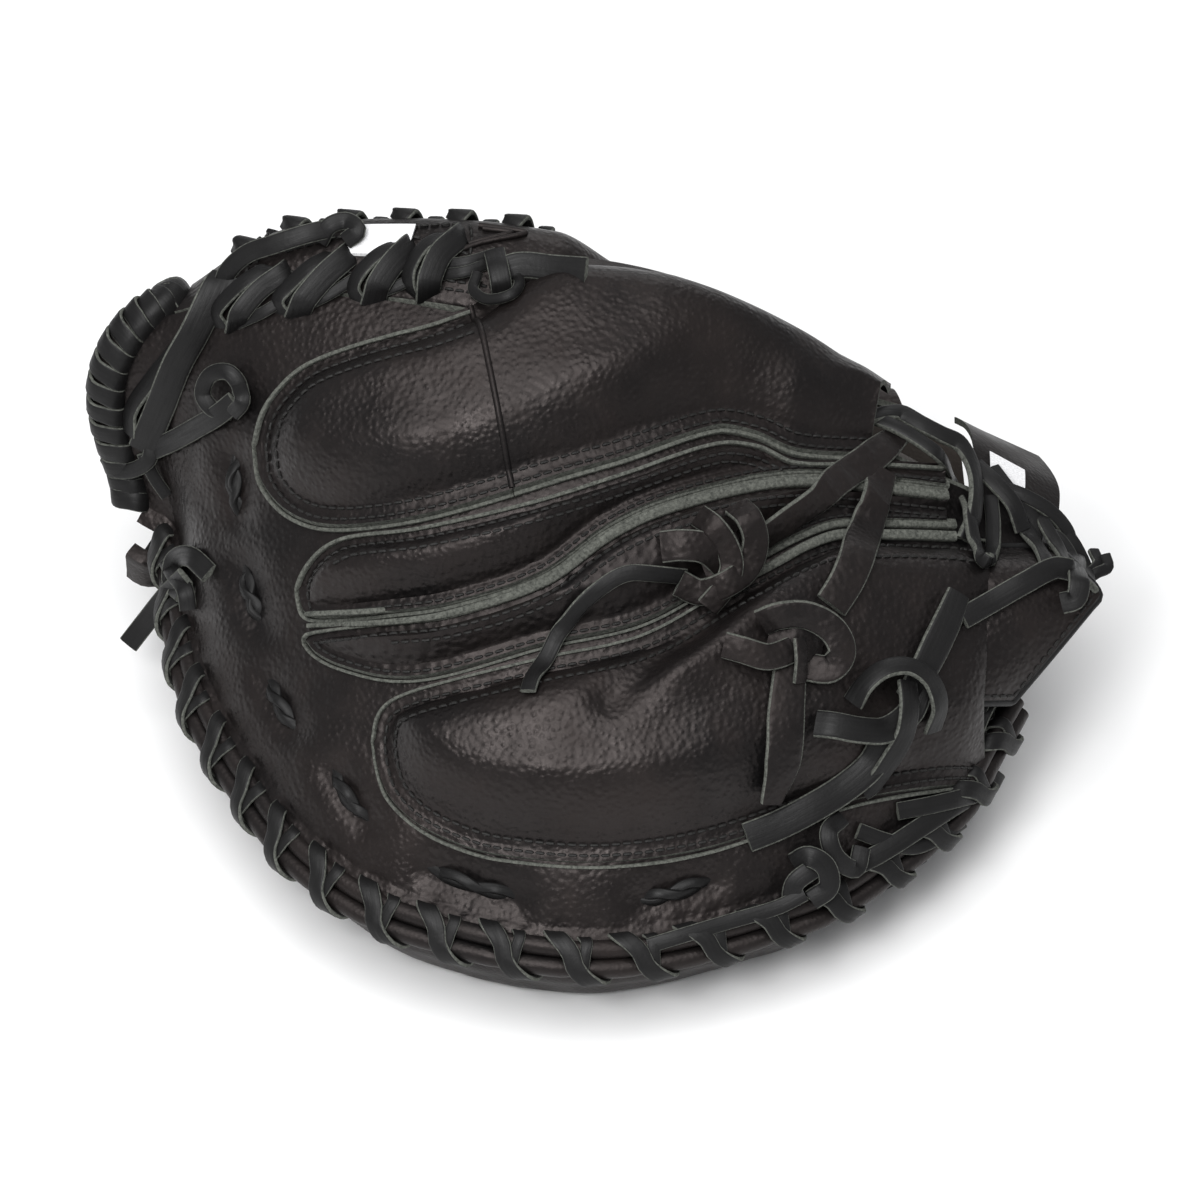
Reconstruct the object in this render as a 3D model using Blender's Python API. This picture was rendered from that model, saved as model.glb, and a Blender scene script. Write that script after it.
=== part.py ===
"""Baseball catcher's mitt for the left hand, lying palm down.

Frame: +Z up, the wrist at +X, the fingertips at -X, the finger half at -Y and the
thumb half at +Y. The origin is at the middle of the footprint, on the resting plane.

The mitt is one thick dome. Its outer skin and its pocket skin are two charts with the
same coordinates: u runs from the web's top edge (0) to the heel (1), and t runs from
the front rim (-1) over the crest (0) to the rear rim (1). A depth m in millimetres
goes from the outer skin straight to the pocket skin, so each layer of leather, felt
or lining is one range of depths and layers never meet.
"""
import bmesh
import bpy
import math
import numpy as np

MM = 0.001
ORIGIN = np.array([-4.0, 2.5, 0.0])       # middle of the footprint in the drawing's axes

# Leather, felt and lace
PANEL = 2.2          # thickness of the back, stall and palm leather
LACE_WIDTH = 6.3     # quarter inch lace
LACE_THICK = 1.6
TIE_WIDTH = 11.0     # the wide finger ties
TIE_THICK = 1.8
GAP = 1.0            # clearance between layers
BACK_DEPTH = 0.6     # depth of the back panels below the outer skin
FELT_DEPTH = BACK_DEPTH + PANEL + 1.4 * GAP
WEB_PANEL = 2.6      # thickness of each web panel, and depth of the one on the pocket side
WEB_POCKET_DEPTH = 4.6
LINING_DEPTH = 21.0  # depth of the palm lining under the hand, and its thickness
LINING_THICK = 1.6
ROLL = 3.0           # radius of each of the two rim rolls
ROLL_PITCH = 3.7     # from the rim line's middle to each roll's middle
RIM_OUT = 12.5       # from a panel's edge to the rim line's middle
WRAP_OUT = 9.2       # half width and half height of one turn of rim lace
WRAP_UP = 5.4
BINDING_OUT = 7.0    # from the web's edge to the middle of its roll, and how far below the skin
BINDING_DOWN = 1.5
BINDING_ROLL = 2.2   # radius of that roll
BINDING_WRAP = 6.8   # half size of one turn of the binding's lace
PALM_TUCK = 13.5     # from a panel's edge to where the palm leather starts, under the rolls
PALM_OUTSIDE = [(20.0, 0.38), (23.5, 0.6), (26.0, 0.8)]       # (out past the edge, share of the wall)
PALM_INSIDE = [(20.0 - PANEL, 0.4), (21.5, 0.58), (23.6, 0.75)]
FLOOR_BAND = 6.0     # layers this close to the pocket skin flatten where they meet the floor

# The drawing plane of the back leans 45 degrees: v runs up it, x along it.
LEAN = math.sqrt(0.5)
LEAN_FOOT = 75.0

# Edges of the dome: x, y, z in millimetres from the web's top edge to the heel
FRONT_RIM = [(-140, 58, 58), (-131, 51, 56), (-126, 23, 52), (-118, -7, 48), (-104, -35, 44),
             (-83, -66, 41), (-53, -87, 39), (1, -99, 38), (58, -83, 39), (85, -64, 41),
             (106, -43, 44), (116, -26, 48)]
CREST = [(-128, 86, 120), (-103, 82, 137), (-60, 76, 146), (-20, 70, 146), (20, 64, 138),
         (60, 58, 118), (90, 54, 101), (115, 50, 87), (133, 48, 76)]
REAR_RIM = [(-128, 104, 60), (-100, 108, 40), (-55, 111, 28), (0, 113, 24), (50, 111, 26),
            (90, 104, 32), (118, 92, 44)]
# Height of the pocket's feet and depth of the whole wall at the crest, as (u, mm)
FRONT_FOOT = [(0.0, 40), (0.13, 18), (0.26, -3), (0.82, -3), (1.0, 12)]
REAR_FOOT = [(0.0, 36), (0.15, 12), (0.25, -3), (0.80, -3), (1.0, 12)]
CREST_WALL = [(0.0, 9), (0.35, 10), (0.5, 26), (0.7, 38), (1.0, 44)]
FRONT_INSET = [(0.0, 8), (0.2, 16)]     # how far the feet stand inside the rims
REAR_INSET = [(0.0, 12), (0.25, 26)]
FRONT_SLOPE = math.radians(50)
REAR_SLOPE = math.radians(82)
WEB_BULGE = 12.0     # how far the web's top edge bows out to the tip
WEB_BOWED = 0.2      # the u where that bow has died away

# Where the two halves part, as (u, t), and the web's other end
WEB_FRONT = -0.07     # t of the web's edge on the finger side
WEB_REAR = 0.38      # t of its edge on the thumb side
WEB_END = 0.42       # u of its base, at the palm
FINGER_EDGE = -0.14  # t of the finger half's edge along the web
CREASE = 0.36        # t of the palm leather's fold between the halves
THUMB_EDGE = 0.46    # t of the thumb half's edge
HAND = (-0.06, CREASE - 0.06)    # t from side to side of the hollow for the hand

# The fold between the halves: two points on its axis, beside the pocket leather
FOLD_TIP = (-124.0, 94.5, 104.0)
FOLD_HEEL = (132.0, 63.5, 44.0)

LEATHER = ("leather_black", (0.022, 0.02, 0.02), 0.5)
LACE = ("lace_black", (0.02, 0.02, 0.02), 0.45)
FELT = ("felt_pad", (0.55, 0.53, 0.5), 0.95)
LINING = ("lining", (0.12, 0.1, 0.09), 0.7)
LABEL = ("label_white", (0.8, 0.8, 0.8), 0.5)


def clear_scene():
    for thing in list(bpy.data.objects):
        bpy.data.objects.remove(thing, do_unlink=True)


def material(look):
    name, colour, roughness = look
    made = bpy.data.materials.get(name)
    if made is None:
        made = bpy.data.materials.new(name)
        made.use_nodes = True
        shader = made.node_tree.nodes["Principled BSDF"]
        shader.inputs["Base Color"].default_value = (*colour, 1.0)
        shader.inputs["Roughness"].default_value = roughness
    return made


def unit(vector):
    return vector / np.linalg.norm(vector)


def spline(points, s):
    """Smooth curve through the points at 0 <= s <= 1, straight on past its ends."""
    points = np.array(points, float)
    steps = np.linalg.norm(np.diff(points, axis=0), axis=1)
    knots = np.concatenate([[0.0], np.cumsum(steps)]) / steps.sum()
    if s < 0.0:
        return points[0] + (spline(points, 0.02) - points[0]) * s / 0.02
    if s > 1.0:
        return points[-1] + (points[-1] - spline(points, 0.98)) * (s - 1.0) / 0.02
    i = min(int(np.searchsorted(knots, s, side="right")) - 1, len(points) - 2)
    before, after = max(i - 1, 0), min(i + 2, len(points) - 1)
    span = knots[i + 1] - knots[i]
    start = (points[i + 1] - points[before]) / (knots[i + 1] - knots[before]) * span
    finish = (points[after] - points[i]) / (knots[after] - knots[i]) * span
    return hermite(points[i], start, points[i + 1], finish, (s - knots[i]) / span)


def hermite(a, a_pull, b, b_pull, s):
    squared, cubed = s * s, s * s * s
    return ((2 * cubed - 3 * squared + 1) * a + (cubed - 2 * squared + s) * a_pull
            + (3 * squared - 2 * cubed) * b + (cubed - squared) * b_pull)


def table(rows, u):
    """Smooth value between the rows (u, value)."""
    spots = [row[0] for row in rows]
    values = [row[1] for row in rows]
    u = min(max(u, spots[0]), spots[-1])
    i = min(int(np.searchsorted(spots, u, side="right")) - 1, len(rows) - 2)
    share = (u - spots[i]) / (spots[i + 1] - spots[i])
    share = share * share * (3 - 2 * share)
    return values[i] + (values[i + 1] - values[i]) * share


def flat_unit(vector):
    return unit(np.array([vector[0], vector[1], 0.0]))


def half(rim, crest, across, slope, t):
    """One leg of the dome from its rim (t = 1) up to the crest (t = 0)."""
    length = np.linalg.norm(crest - rim)
    inward = flat_unit(crest - rim)
    rise = inward * math.cos(slope) + np.array([0, 0, math.sin(slope)])
    if t > 1.0:
        return rim - rise * length * (t - 1.0)
    return hermite(rim, rise * length, crest, across * length * 0.85, 1.0 - t)


def outer(u, t):
    front, top, rear = spline(FRONT_RIM, u), spline(CREST, u), spline(REAR_RIM, u)
    across = flat_unit(rear - front)
    if t <= 0:
        point = half(front, top, across, FRONT_SLOPE, -t)
        bow = WEB_BULGE * max(0.0, 1 - max(u, 0.0) / WEB_BOWED) ** 2
        point[0] -= bow * math.sin(math.pi * min(-t, 1.0)) ** 1.5
        return point
    return half(rear, top, -across, REAR_SLOPE, t)


def inner(u, t):
    front, top, rear = spline(FRONT_RIM, u), spline(CREST, u), spline(REAR_RIM, u)
    across = flat_unit(rear - front)
    pocket = top - np.array([0, 0, table(CREST_WALL, u)])
    if t <= 0:
        foot = front + flat_unit(top - front) * table(FRONT_INSET, u)
        foot[2] = table(FRONT_FOOT, u)
        return half(foot, pocket, across, FRONT_SLOPE, -t)
    foot = rear + flat_unit(top - rear) * table(REAR_INSET, u)
    foot[2] = table(REAR_FOOT, u)
    return half(foot, pocket, -across, REAR_SLOPE, t)


def wall(u, t):
    return float(np.linalg.norm(inner(u, t) - outer(u, t)))


def place(u, t, m):
    """The point m millimetres below the outer skin, and never below its own floor."""
    skin, pocket = outer(u, t), inner(u, t)
    deep = float(np.linalg.norm(pocket - skin))
    point = skin + (pocket - skin) / deep * m
    if deep - m < FLOOR_BAND:
        point[2] = max(point[2], deep - m)
    return point - ORIGIN


def edge_frame(point, along, beyond, deep):
    """Point and unit axes of an edge: out past the edge, and down into the wall."""
    run = unit(along)
    out = unit(beyond - np.dot(beyond, run) * run)
    down = deep - np.dot(deep, run) * run
    return point - ORIGIN, out, unit(down - np.dot(down, out) * out)


def rim_frame(u, side):
    point, near = outer(u, side), 0.01
    along = outer(u + near, side) - outer(u - near, side)
    beyond = outer(u, side * (1 + near)) - point
    return edge_frame(point, along, beyond, inner(u, side) - point)


def web_frame(t):
    point, near = outer(0.0, t), 0.01
    along = outer(0.0, t + near) - outer(0.0, t - near)
    return edge_frame(point, along, point - outer(2 * near, t), inner(0.0, t) - point)


def from_frame(frame, out, down, floor=0.0):
    point = frame[0] + frame[1] * out + frame[2] * down
    point[2] = max(point[2], floor)
    return point


def drawing(u, t):
    point = outer(u, t)
    return np.array([point[0], (point[1] + point[2] - LEAN_FOOT) * LEAN])


COARSE = []          # drawn places of a grid of chart points, filled once


def chart(x, v):
    """Chart coordinates of the outer skin's point at (x, v) on the drawing plane."""
    target = np.array([x, v], float)
    if not COARSE:
        COARSE.extend((u, t, drawing(u, t)) for u in spaced(0, 1.12, 24) for t in spaced(-1.1, 0, 14))
    u, t, _ = min(COARSE, key=lambda spot: np.linalg.norm(spot[2] - target))
    step = 0.004
    for _ in range(6):
        here = drawing(u, t)
        along = (drawing(u + step, t) - here) / step
        across = (drawing(u, t + step) - here) / step
        move = np.linalg.lstsq(np.column_stack([along, across]), target - here, rcond=None)[0]
        u += float(np.clip(move[0], -0.05, 0.05))
        t = float(min(t + np.clip(move[1], -0.08, 0.08), 0.0))
    return u, t


def on_back(x, v, m):
    return place(*chart(x, v), m)


def finish(name, look, points, faces):
    mesh = bpy.data.meshes.new(name)
    mesh.from_pydata([tuple(np.array(p) * MM) for p in points], [], faces)
    shape = bmesh.new()
    shape.from_mesh(mesh)
    bmesh.ops.recalc_face_normals(shape, faces=shape.faces)
    shape.to_mesh(mesh)
    shape.free()
    mesh.materials.append(material(look))
    mesh.shade_smooth()
    mesh.set_sharp_from_angle(angle=math.radians(40))
    thing = bpy.data.objects.new(name, mesh)
    bpy.context.scene.collection.objects.link(thing)
    return thing


def slab(name, look, top, under):
    """Closed sheet between two grids of points of the same size."""
    rows, cols = len(top), len(top[0])
    points = [p for row in top for p in row] + [p for row in under for p in row]
    below = rows * cols
    faces = []
    for i in range(rows - 1):
        for j in range(cols - 1):
            a, b, c, d = i * cols + j, i * cols + j + 1, (i + 1) * cols + j + 1, (i + 1) * cols + j
            faces += [(a, b, c, d), (below + d, below + c, below + b, below + a)]
    border = list(range(cols))
    border += [i * cols + cols - 1 for i in range(1, rows)]
    border += [(rows - 1) * cols + j for j in range(cols - 2, -1, -1)]
    border += [i * cols for i in range(rows - 2, 0, -1)]
    for a, b in zip(border, border[1:] + border[:1]):
        faces.append((b, a, below + a, below + b))
    return finish(name, look, points, faces)


def layer(name, look, us, top_path, under_path):
    """Sheet along the dome; each path gives, for one u, its (t, m) points across."""
    top = [[place(u, t, m) for t, m in top_path(u)] for u in us]
    under = [[place(u, t, m) for t, m in under_path(u)] for u in us]
    return slab(name, look, top, under)


def sweep(name, look, centres, rings):
    """Closed body through one ring of points round each centre."""
    sides = len(rings[0])
    points = [centre + offset for centre, ring in zip(centres, rings) for offset in ring]
    faces = [tuple(range(sides))]
    for i in range(len(centres) - 1):
        for k in range(sides):
            a, b = i * sides + k, i * sides + (k + 1) % sides
            faces.append((a, b, b + sides, a + sides))
    faces.append(tuple(len(points) - 1 - k for k in range(sides)))
    return finish(name, look, points, faces)


def headings(points):
    points = np.array(points)
    ahead = np.vstack([points[1:], points[-1:]])
    behind = np.vstack([points[:1], points[:-1]])
    return [unit(a - b) for a, b in zip(ahead, behind)]


def ribbon(name, look, centres, normals, widths, thicks):
    """Flat lace: its width lies across its heading and along the surface."""
    rings = []
    for heading, normal, width, thick in zip(headings(centres), normals, widths, thicks):
        side = unit(np.cross(heading, normal))
        up = unit(np.cross(side, heading))
        across, over = side * width / 2, up * thick / 2
        rings.append([-across - over, across - over, across + over, -across + over])
    return sweep(name, look, centres, rings)


def tube(name, look, centres, radius, sides=6):
    rings = []
    for heading in headings(centres):
        side = unit(np.cross(heading, (0.13, 0.2, 1.0)))
        up = np.cross(side, heading)
        rings.append([radius * (math.cos(a) * side + math.sin(a) * up)
                      for a in (2 * math.pi * k / sides for k in range(sides))])
    return sweep(name, look, centres, rings)


def spaced(start, stop, count):
    return [start + (stop - start) * k / (count - 1) for k in range(count)]


def outward(u, t, m):
    return unit(place(u, t, m - 1.0) - place(u, t, m))


# ---- layers ------------------------------------------------------------------------

FINGER_US = spaced(0.02, 0.97, 18)
FINGER_PAD_US = FINGER_US[:-2]
THUMB_US = spaced(0.04, 0.93, 15)
THUMB_PAD_US = THUMB_US[:-2]
WEB_US = spaced(0.02, WEB_END, 8)
PALM_US = spaced(0.58, 0.97, 8)
CREASE_US = spaced(0.48, 0.97, 9)
ACROSS = 9           # points across a half


def sheet(name, look, us, start, stop, m, thick=PANEL, count=ACROSS):
    """Sheet from depth m to m + thick; start and stop give t for each u."""
    def path(depth):
        return lambda u: [(t, depth(u)) for t in spaced(start(u), stop(u), count)]
    return layer(name, look, us, path(m), path(lambda u: m(u) + thick))


def always(value):
    return lambda u: value


def finger_edge(u):
    return table([(0.0, FINGER_EDGE), (0.4, FINGER_EDGE), (0.5, -0.1), (1.0, -0.16)], u)


def thumb_edge(u):
    return table([(0.0, THUMB_EDGE), (0.6, THUMB_EDGE), (1.0, 0.66)], u)


def pad(name, us, side, edge):
    """Felt pad between a half's back panel and its palm leather."""
    def rows(u):
        return spaced(0.93 * side, edge(u) + 0.04 * side, ACROSS)

    def under(u):
        return [(t, max(wall(u, t) - PANEL - 2.0 * GAP, FELT_DEPTH + 1.0)) for t in rows(u)]
    layer(name, FELT, us, lambda u: [(t, FELT_DEPTH) for t in rows(u)], under)


def palm_leather(name, us, side, edge):
    """Leather from under the rim rolls, down the outer wall and into the pocket."""
    start = WRAP_UP + 2.4
    top, under = [], []
    for u in us:
        frame, deep = rim_frame(u, side), wall(u, side)
        top.append([from_frame(frame, PALM_TUCK, start)]
                   + [from_frame(frame, out, share * deep) for out, share in PALM_OUTSIDE]
                   + [place(u, t, wall(u, t)) for t in spaced(side, edge(u), ACROSS)])
        under.append([from_frame(frame, PALM_TUCK - PANEL, start + 0.4)]
                     + [from_frame(frame, out, share * deep, PANEL) for out, share in PALM_INSIDE]
                     + [place(u, t, wall(u, t) - PANEL) for t in spaced(0.985 * side, edge(u), ACROSS)])
    slab(name, LEATHER, top, under)


def finger_half():
    sheet("finger_back_panel", LEATHER, FINGER_US, always(-1.0), finger_edge, always(BACK_DEPTH))
    pad("finger_pad", FINGER_PAD_US, -1, finger_edge)
    palm_leather("finger_palm_leather", FINGER_US, -1, lambda u: finger_edge(u) - 0.01)


def thumb_half():
    sheet("thumb_back_panel", LEATHER, THUMB_US, thumb_edge, always(1.0), always(BACK_DEPTH))
    pad("thumb_pad", THUMB_PAD_US, 1, thumb_edge)
    palm_leather("thumb_palm_leather", THUMB_US, 1, thumb_edge)


def palm_middle():
    """Heel pad under the hand, its lining and the pocket leather over the crease."""
    def top(u):
        return [(t, LINING_DEPTH + LINING_THICK + GAP) for t in spaced(*HAND, 6)]

    def under(u):
        return [(t, wall(u, t) - PANEL - GAP) for t in spaced(*HAND, 6)]

    def crease(u):
        return spaced(finger_edge(u) + 0.02, CREASE, 8)
    layer("heel_pad", FELT, PALM_US, top, under)
    sheet("palm_lining", LINING, PALM_US, always(HAND[0]), always(HAND[1]), always(LINING_DEPTH),
          LINING_THICK, 6)
    layer("pocket_leather", LEATHER, CREASE_US, lambda u: [(t, wall(u, t)) for t in crease(u)],
          lambda u: [(t, wall(u, t) - PANEL) for t in crease(u)])


def web():
    for name, depth in (("web_back_panel", BACK_DEPTH), ("web_pocket_panel", WEB_POCKET_DEPTH)):
        sheet(name, LEATHER, WEB_US, always(WEB_FRONT), always(WEB_REAR), always(depth), WEB_PANEL)


# ---- rims --------------------------------------------------------------------------

FINGER_RIM = (0.055, 1.0, 20)      # u where the rim starts and stops, and the turns of its lace
THUMB_RIM = (0.05, 0.95, 13)
BINDING_TURNS = 15
FINGER_LACING = (0.06, 0.345, 12, -0.155, -0.02, -2.2)     # u from, u to, points, t of each edge, depth
THUMB_LACING = (0.05, 0.40, 11, 0.34, 0.52, -7.4)


def rim(prefix, side, start, stop, turns):
    """Two parallel rolls along a rim and the lace wound round both."""
    frames = [rim_frame(u, side) for u in spaced(start, stop, 30)]
    for label, out in (("inner", RIM_OUT - ROLL_PITCH), ("outer", RIM_OUT + ROLL_PITCH)):
        tube(f"{prefix}_rim_roll_{label}", LEATHER, [from_frame(f, out, 0.0) for f in frames], ROLL)
    frames = [rim_frame(u, side) for u in spaced(start + 0.01, stop - 0.01, 4 * turns)]
    winding(f"{prefix}_rim_lace", frames, RIM_OUT, 0.0, WRAP_OUT, WRAP_UP)


def winding(name, frames, out, down, half_width, half_height):
    """Flat lace wound round a core, with four corners to each turn."""
    corners = [(-half_width, -half_height), (half_width, -half_height),
               (half_width, half_height), (-half_width, half_height)]
    centres, normals = [], []
    for k, frame in enumerate(frames):
        a, b = corners[k % 4]
        centres.append(from_frame(frame, out + a, down + b))
        normals.append(unit(frame[1] * a + frame[2] * b))
    count = len(centres)
    ribbon(name, LACE, centres, normals, [LACE_WIDTH * 0.7] * count, [LACE_THICK] * count)


def web_binding():
    """Roll along the web's top edge and the lace wound round it."""
    frames = [web_frame(t) for t in spaced(-0.97, 0.92, 40)]
    middle = [from_frame(frame, BINDING_OUT, BINDING_DOWN) for frame in frames]
    tube("web_binding_roll", LEATHER, middle, BINDING_ROLL)
    frames = [web_frame(t) for t in spaced(-0.93, 0.88, 4 * BINDING_TURNS)]
    winding("web_binding_lace", frames, BINDING_OUT, BINDING_DOWN, BINDING_WRAP, BINDING_WRAP)


def zigzag(name, start, stop, count, t_low, t_high, m):
    """Lace that ties two edges and crosses the gap between them count - 1 times."""
    us, spots = spaced(start, stop, count), []
    for k, u in enumerate(us):
        spots.append((u, t_low if k % 2 else t_high))
        if k + 1 < len(us):
            spots.append(((u + us[k + 1]) / 2, (t_low + t_high) / 2))
    centres = [place(u, t, m) for u, t in spots]
    normals = [outward(u, t, m) for u, t in spots]
    count = len(centres)
    ribbon(name, LACE, centres, normals, [LACE_WIDTH * 0.8] * count, [LACE_THICK] * count)


# ---- stalls ------------------------------------------------------------------------

SEAM = 0.9           # height of a stall's sewn edge above the back panel
CROWN = (0.0, 0.07, 0.2, 0.35, 0.5, 0.65, 0.8, 0.93, 1.0)
STALLS = {
    # name: (lower edge, upper edge, rise, closed tip share), edges as (x, v)
    "index_stall": ([(-102, 45), (-101, 36), (-94, 26), (-80, 21), (-53, 23), (-27, 31)],
                    [(-102, 49), (-99, 58), (-90, 68), (-62, 77), (-39, 84)], 12.0, 0.16),
    "middle_stall": ([(-89, 0), (-87, -5), (-80, -6), (-44, -2), (-17, 7), (1, 20), (16, 28),
                      (43, 34), (61, 36), (104, 33)],
                     [(-89, 4), (-85, 12), (-76, 17), (-53, 19), (-20, 28), (7, 36), (34, 45),
                      (58, 40), (104, 39)], 10.0, 0.12),
    "ring_stall": ([(-87, -15), (-77, -19), (-62, -23), (-47, -22), (-17, -14), (13, -7), (43, 10),
                    (67, 22), (104, 22)],
                   [(-87, -12), (-80, -10), (-44, -7), (-17, 2), (1, 15), (16, 23), (43, 30),
                    (61, 32), (104, 30)], 9.0, 0.12),
    "pinky_stall": ([(-66, -45), (-64, -54), (-53, -66), (-29, -75), (1, -77), (31, -73), (61, -64),
                     (104, -55)],
                    [(-66, -41), (-59, -31), (-47, -26), (-17, -18), (13, -11), (43, 6), (67, 18),
                     (104, 18)], 14.0, 0.14),
}
HOOD_LOWER = [(-23, 33), (7, 41), (34, 50), (58, 45), (80, 44)]
HOOD_UPPER_U = (0.345, 0.82)      # the hood's top edge runs just behind the crest
HOOD_UPPER_T = (-0.10, 0.02, 0.1, 0.14, 0.15, 0.14)
HOOD_RISE = 13.0
THUMB_STALL_U = (0.26, 0.88)
THUMB_STALL_T = (0.95, 0.60)
THUMB_STALL_RISE = 13.0
OPEN_TIP = 0.0001    # tip share of a cover that is open at both ends


def edges(name):
    lower, upper, rise, tip = STALLS[name]
    return [chart(*spot) for spot in lower], [chart(*spot) for spot in upper], rise, tip


COVER = []           # (chart point, height) over the stalls, for what lies on them


def covered(u, t, reach):
    """Height of the stalls' tops round the chart point, above the outer skin."""
    here = place(u, t, 0)
    near = [lift for point, lift in COVER if np.linalg.norm(point - here) < reach]
    return max(near, default=SEAM)


def stall_shell(name, lower, upper, rise, tip, rows=12):
    """Cover that bulges between its two sewn edges and is open at the wrist end."""
    top, under = [], []
    for s in [0.0, 0.03, 0.08] + spaced(0.15, 1.0, rows - 3):
        low, high = spline(lower, s), spline(upper, s)
        width = np.linalg.norm(place(*high, 0) - place(*low, 0))
        close = math.sqrt(max(0.0, 1 - (1 - s / tip) ** 2)) if s < tip else 1.0
        height = rise * close * min(1.0, width / 26.0)
        spots = [low + (high - low) * j for j in CROWN]
        lifts = [height * math.sin(math.pi * j) ** 0.75 for j in CROWN]
        COVER.extend((place(u, t, 0), SEAM + PANEL + lift) for (u, t), lift in zip(spots, lifts))
        top.append([place(u, t, -SEAM - PANEL - lift) for (u, t), lift in zip(spots, lifts)])
        under.append([place(u, t, -SEAM - lift) for (u, t), lift in zip(spots, lifts)])
    slab(name, LEATHER, top, under)


def finger_stalls():
    for name in STALLS:
        stall_shell(name, *edges(name))
    lower = [chart(*spot) for spot in HOOD_LOWER]
    upper = list(zip(spaced(*HOOD_UPPER_U, len(HOOD_UPPER_T)), HOOD_UPPER_T))
    stall_shell("index_hood", lower, upper, HOOD_RISE, OPEN_TIP, 10)


def thumb_stall():
    lower, upper = [[(u, t) for u in spaced(*THUMB_STALL_U, 8)] for t in THUMB_STALL_T]
    stall_shell("thumb_stall", lower, upper, THUMB_STALL_RISE, 0.14, 10)


# ---- ties, tails and laces on the back ----------------------------------------------

def laid(name, route, width, thick, count=9, gap=1.2, swell=()):
    """Flat lace over the back along (x, v) points; swell lists knots as (s, width, thick)."""
    spots = [chart(*spline(route, s)) for s in spaced(0.0, 1.0, count)]
    widths, thicks = [], []
    for s in spaced(0.0, 1.0, count):
        wide, tall = width, thick
        for at, knot_width, knot_thick in swell:
            share = max(0.0, 1 - abs(s - at) / 0.12)
            wide, tall = wide + (knot_width - wide) * share, tall + (knot_thick - tall) * share
        widths.append(wide)
        thicks.append(tall)
    lifts = [covered(u, t, 7.0 + wide / 2) for (u, t), wide in zip(spots, widths)]
    lifts = [max(lifts[max(k - 1, 0):k + 2]) for k in range(count)]
    centres = [place(u, t, -lift - gap - tall / 2) for (u, t), lift, tall in zip(spots, lifts, thicks)]
    normals = [outward(u, t, 0) for u, t in spots]
    ribbon(name, LACE, centres, normals, widths, thicks)


PAD_STITCHES = [((-110, 43), (-109, 26)), ((-107, 10), (-102, -6)), ((-99, -24), (-91, -38)),
                ((-79, -51), (-69, -65)), ((-50, -79), (-25, -87)), ((12, -88), (32, -82))]


PAD_KNOT = (11, 8)   # width and thickness of a knot in the pad lace, in a tie and in the wrist's tie
TIE_KNOT = (22, 13)
SMALL_TIE_KNOT = (20, 12)
WRIST_KNOT = (12, 9)


def pad_lace():
    """Lace that holds the pad: its stitches show on the back, with a knot at each end."""
    for number, stitch in enumerate(PAD_STITCHES, 1):
        laid(f"pad_lace_stitch_{number}", stitch, LACE_WIDTH * 0.8, LACE_THICK, 3, 0.6)
    laid("pad_lace_knot_tip", [(-108, 67), (-111, 63), (-119, 57), (-125, 52)], LACE_WIDTH, LACE_THICK,
         7, 1.8, [(0.15, *PAD_KNOT)])
    laid("pad_lace_knot_heel", [(52, -83), (60, -82), (70, -73), (74, -66)], LACE_WIDTH, LACE_THICK,
         7, 0.8, [(0.4, *PAD_KNOT)])


def finger_ties():
    """Wide laces knotted over the stalls, from the tip of each strap to its free end."""
    laid("tie_a", [(92, 50), (76, 40), (61, 30), (46, 19), (34, 12), (29, 4)], TIE_WIDTH,
         TIE_THICK, 10, 2.6, [(0.8, *TIE_KNOT)])
    laid("tie_a_tail", [(22, 1), (12, 5), (1, 3), (-8, -6), (-15, -17), (-20, -27)], LACE_WIDTH * 0.8,
         TIE_THICK, 10, 3.0)
    laid("tie_b", [(84, 36), (76, 14), (68, 0), (61, -12), (53, -24), (51, -38), (52, -54)], TIE_WIDTH,
         TIE_THICK, 12, 2.2, [(0.5, *TIE_KNOT)])
    laid("tie_c", [(106, 2), (97, -17), (90, -27), (83, -33), (75, -50), (61, -63), (48, -71)],
         TIE_WIDTH, TIE_THICK, 12, 5.4, [(0.42, *SMALL_TIE_KNOT)])


# ---- wrist -------------------------------------------------------------------------

FLAP_START = 111.0   # x where the wrist flap leaves the back
FLAP_V = (-31, 2)
FLAP_ENDS = (143, 150, 152, 151, 147)
FLAP_LIFT = 9.0      # height of the flap's root and of the opening's lace above the outer skin
FLAP_DROOP = 5.0
STRAP_LIFT = 4.0     # the same for the strap and the label on it
STRAP_LABEL_LIFT = 5.7
LABEL_THICK = 0.8
OPENING_ROUTE = [(85, 63), (97, 52), (104, 39), (107, 25), (109, 12)]
OPENING_LACE = 2.3   # radius of the lace round the opening


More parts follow.
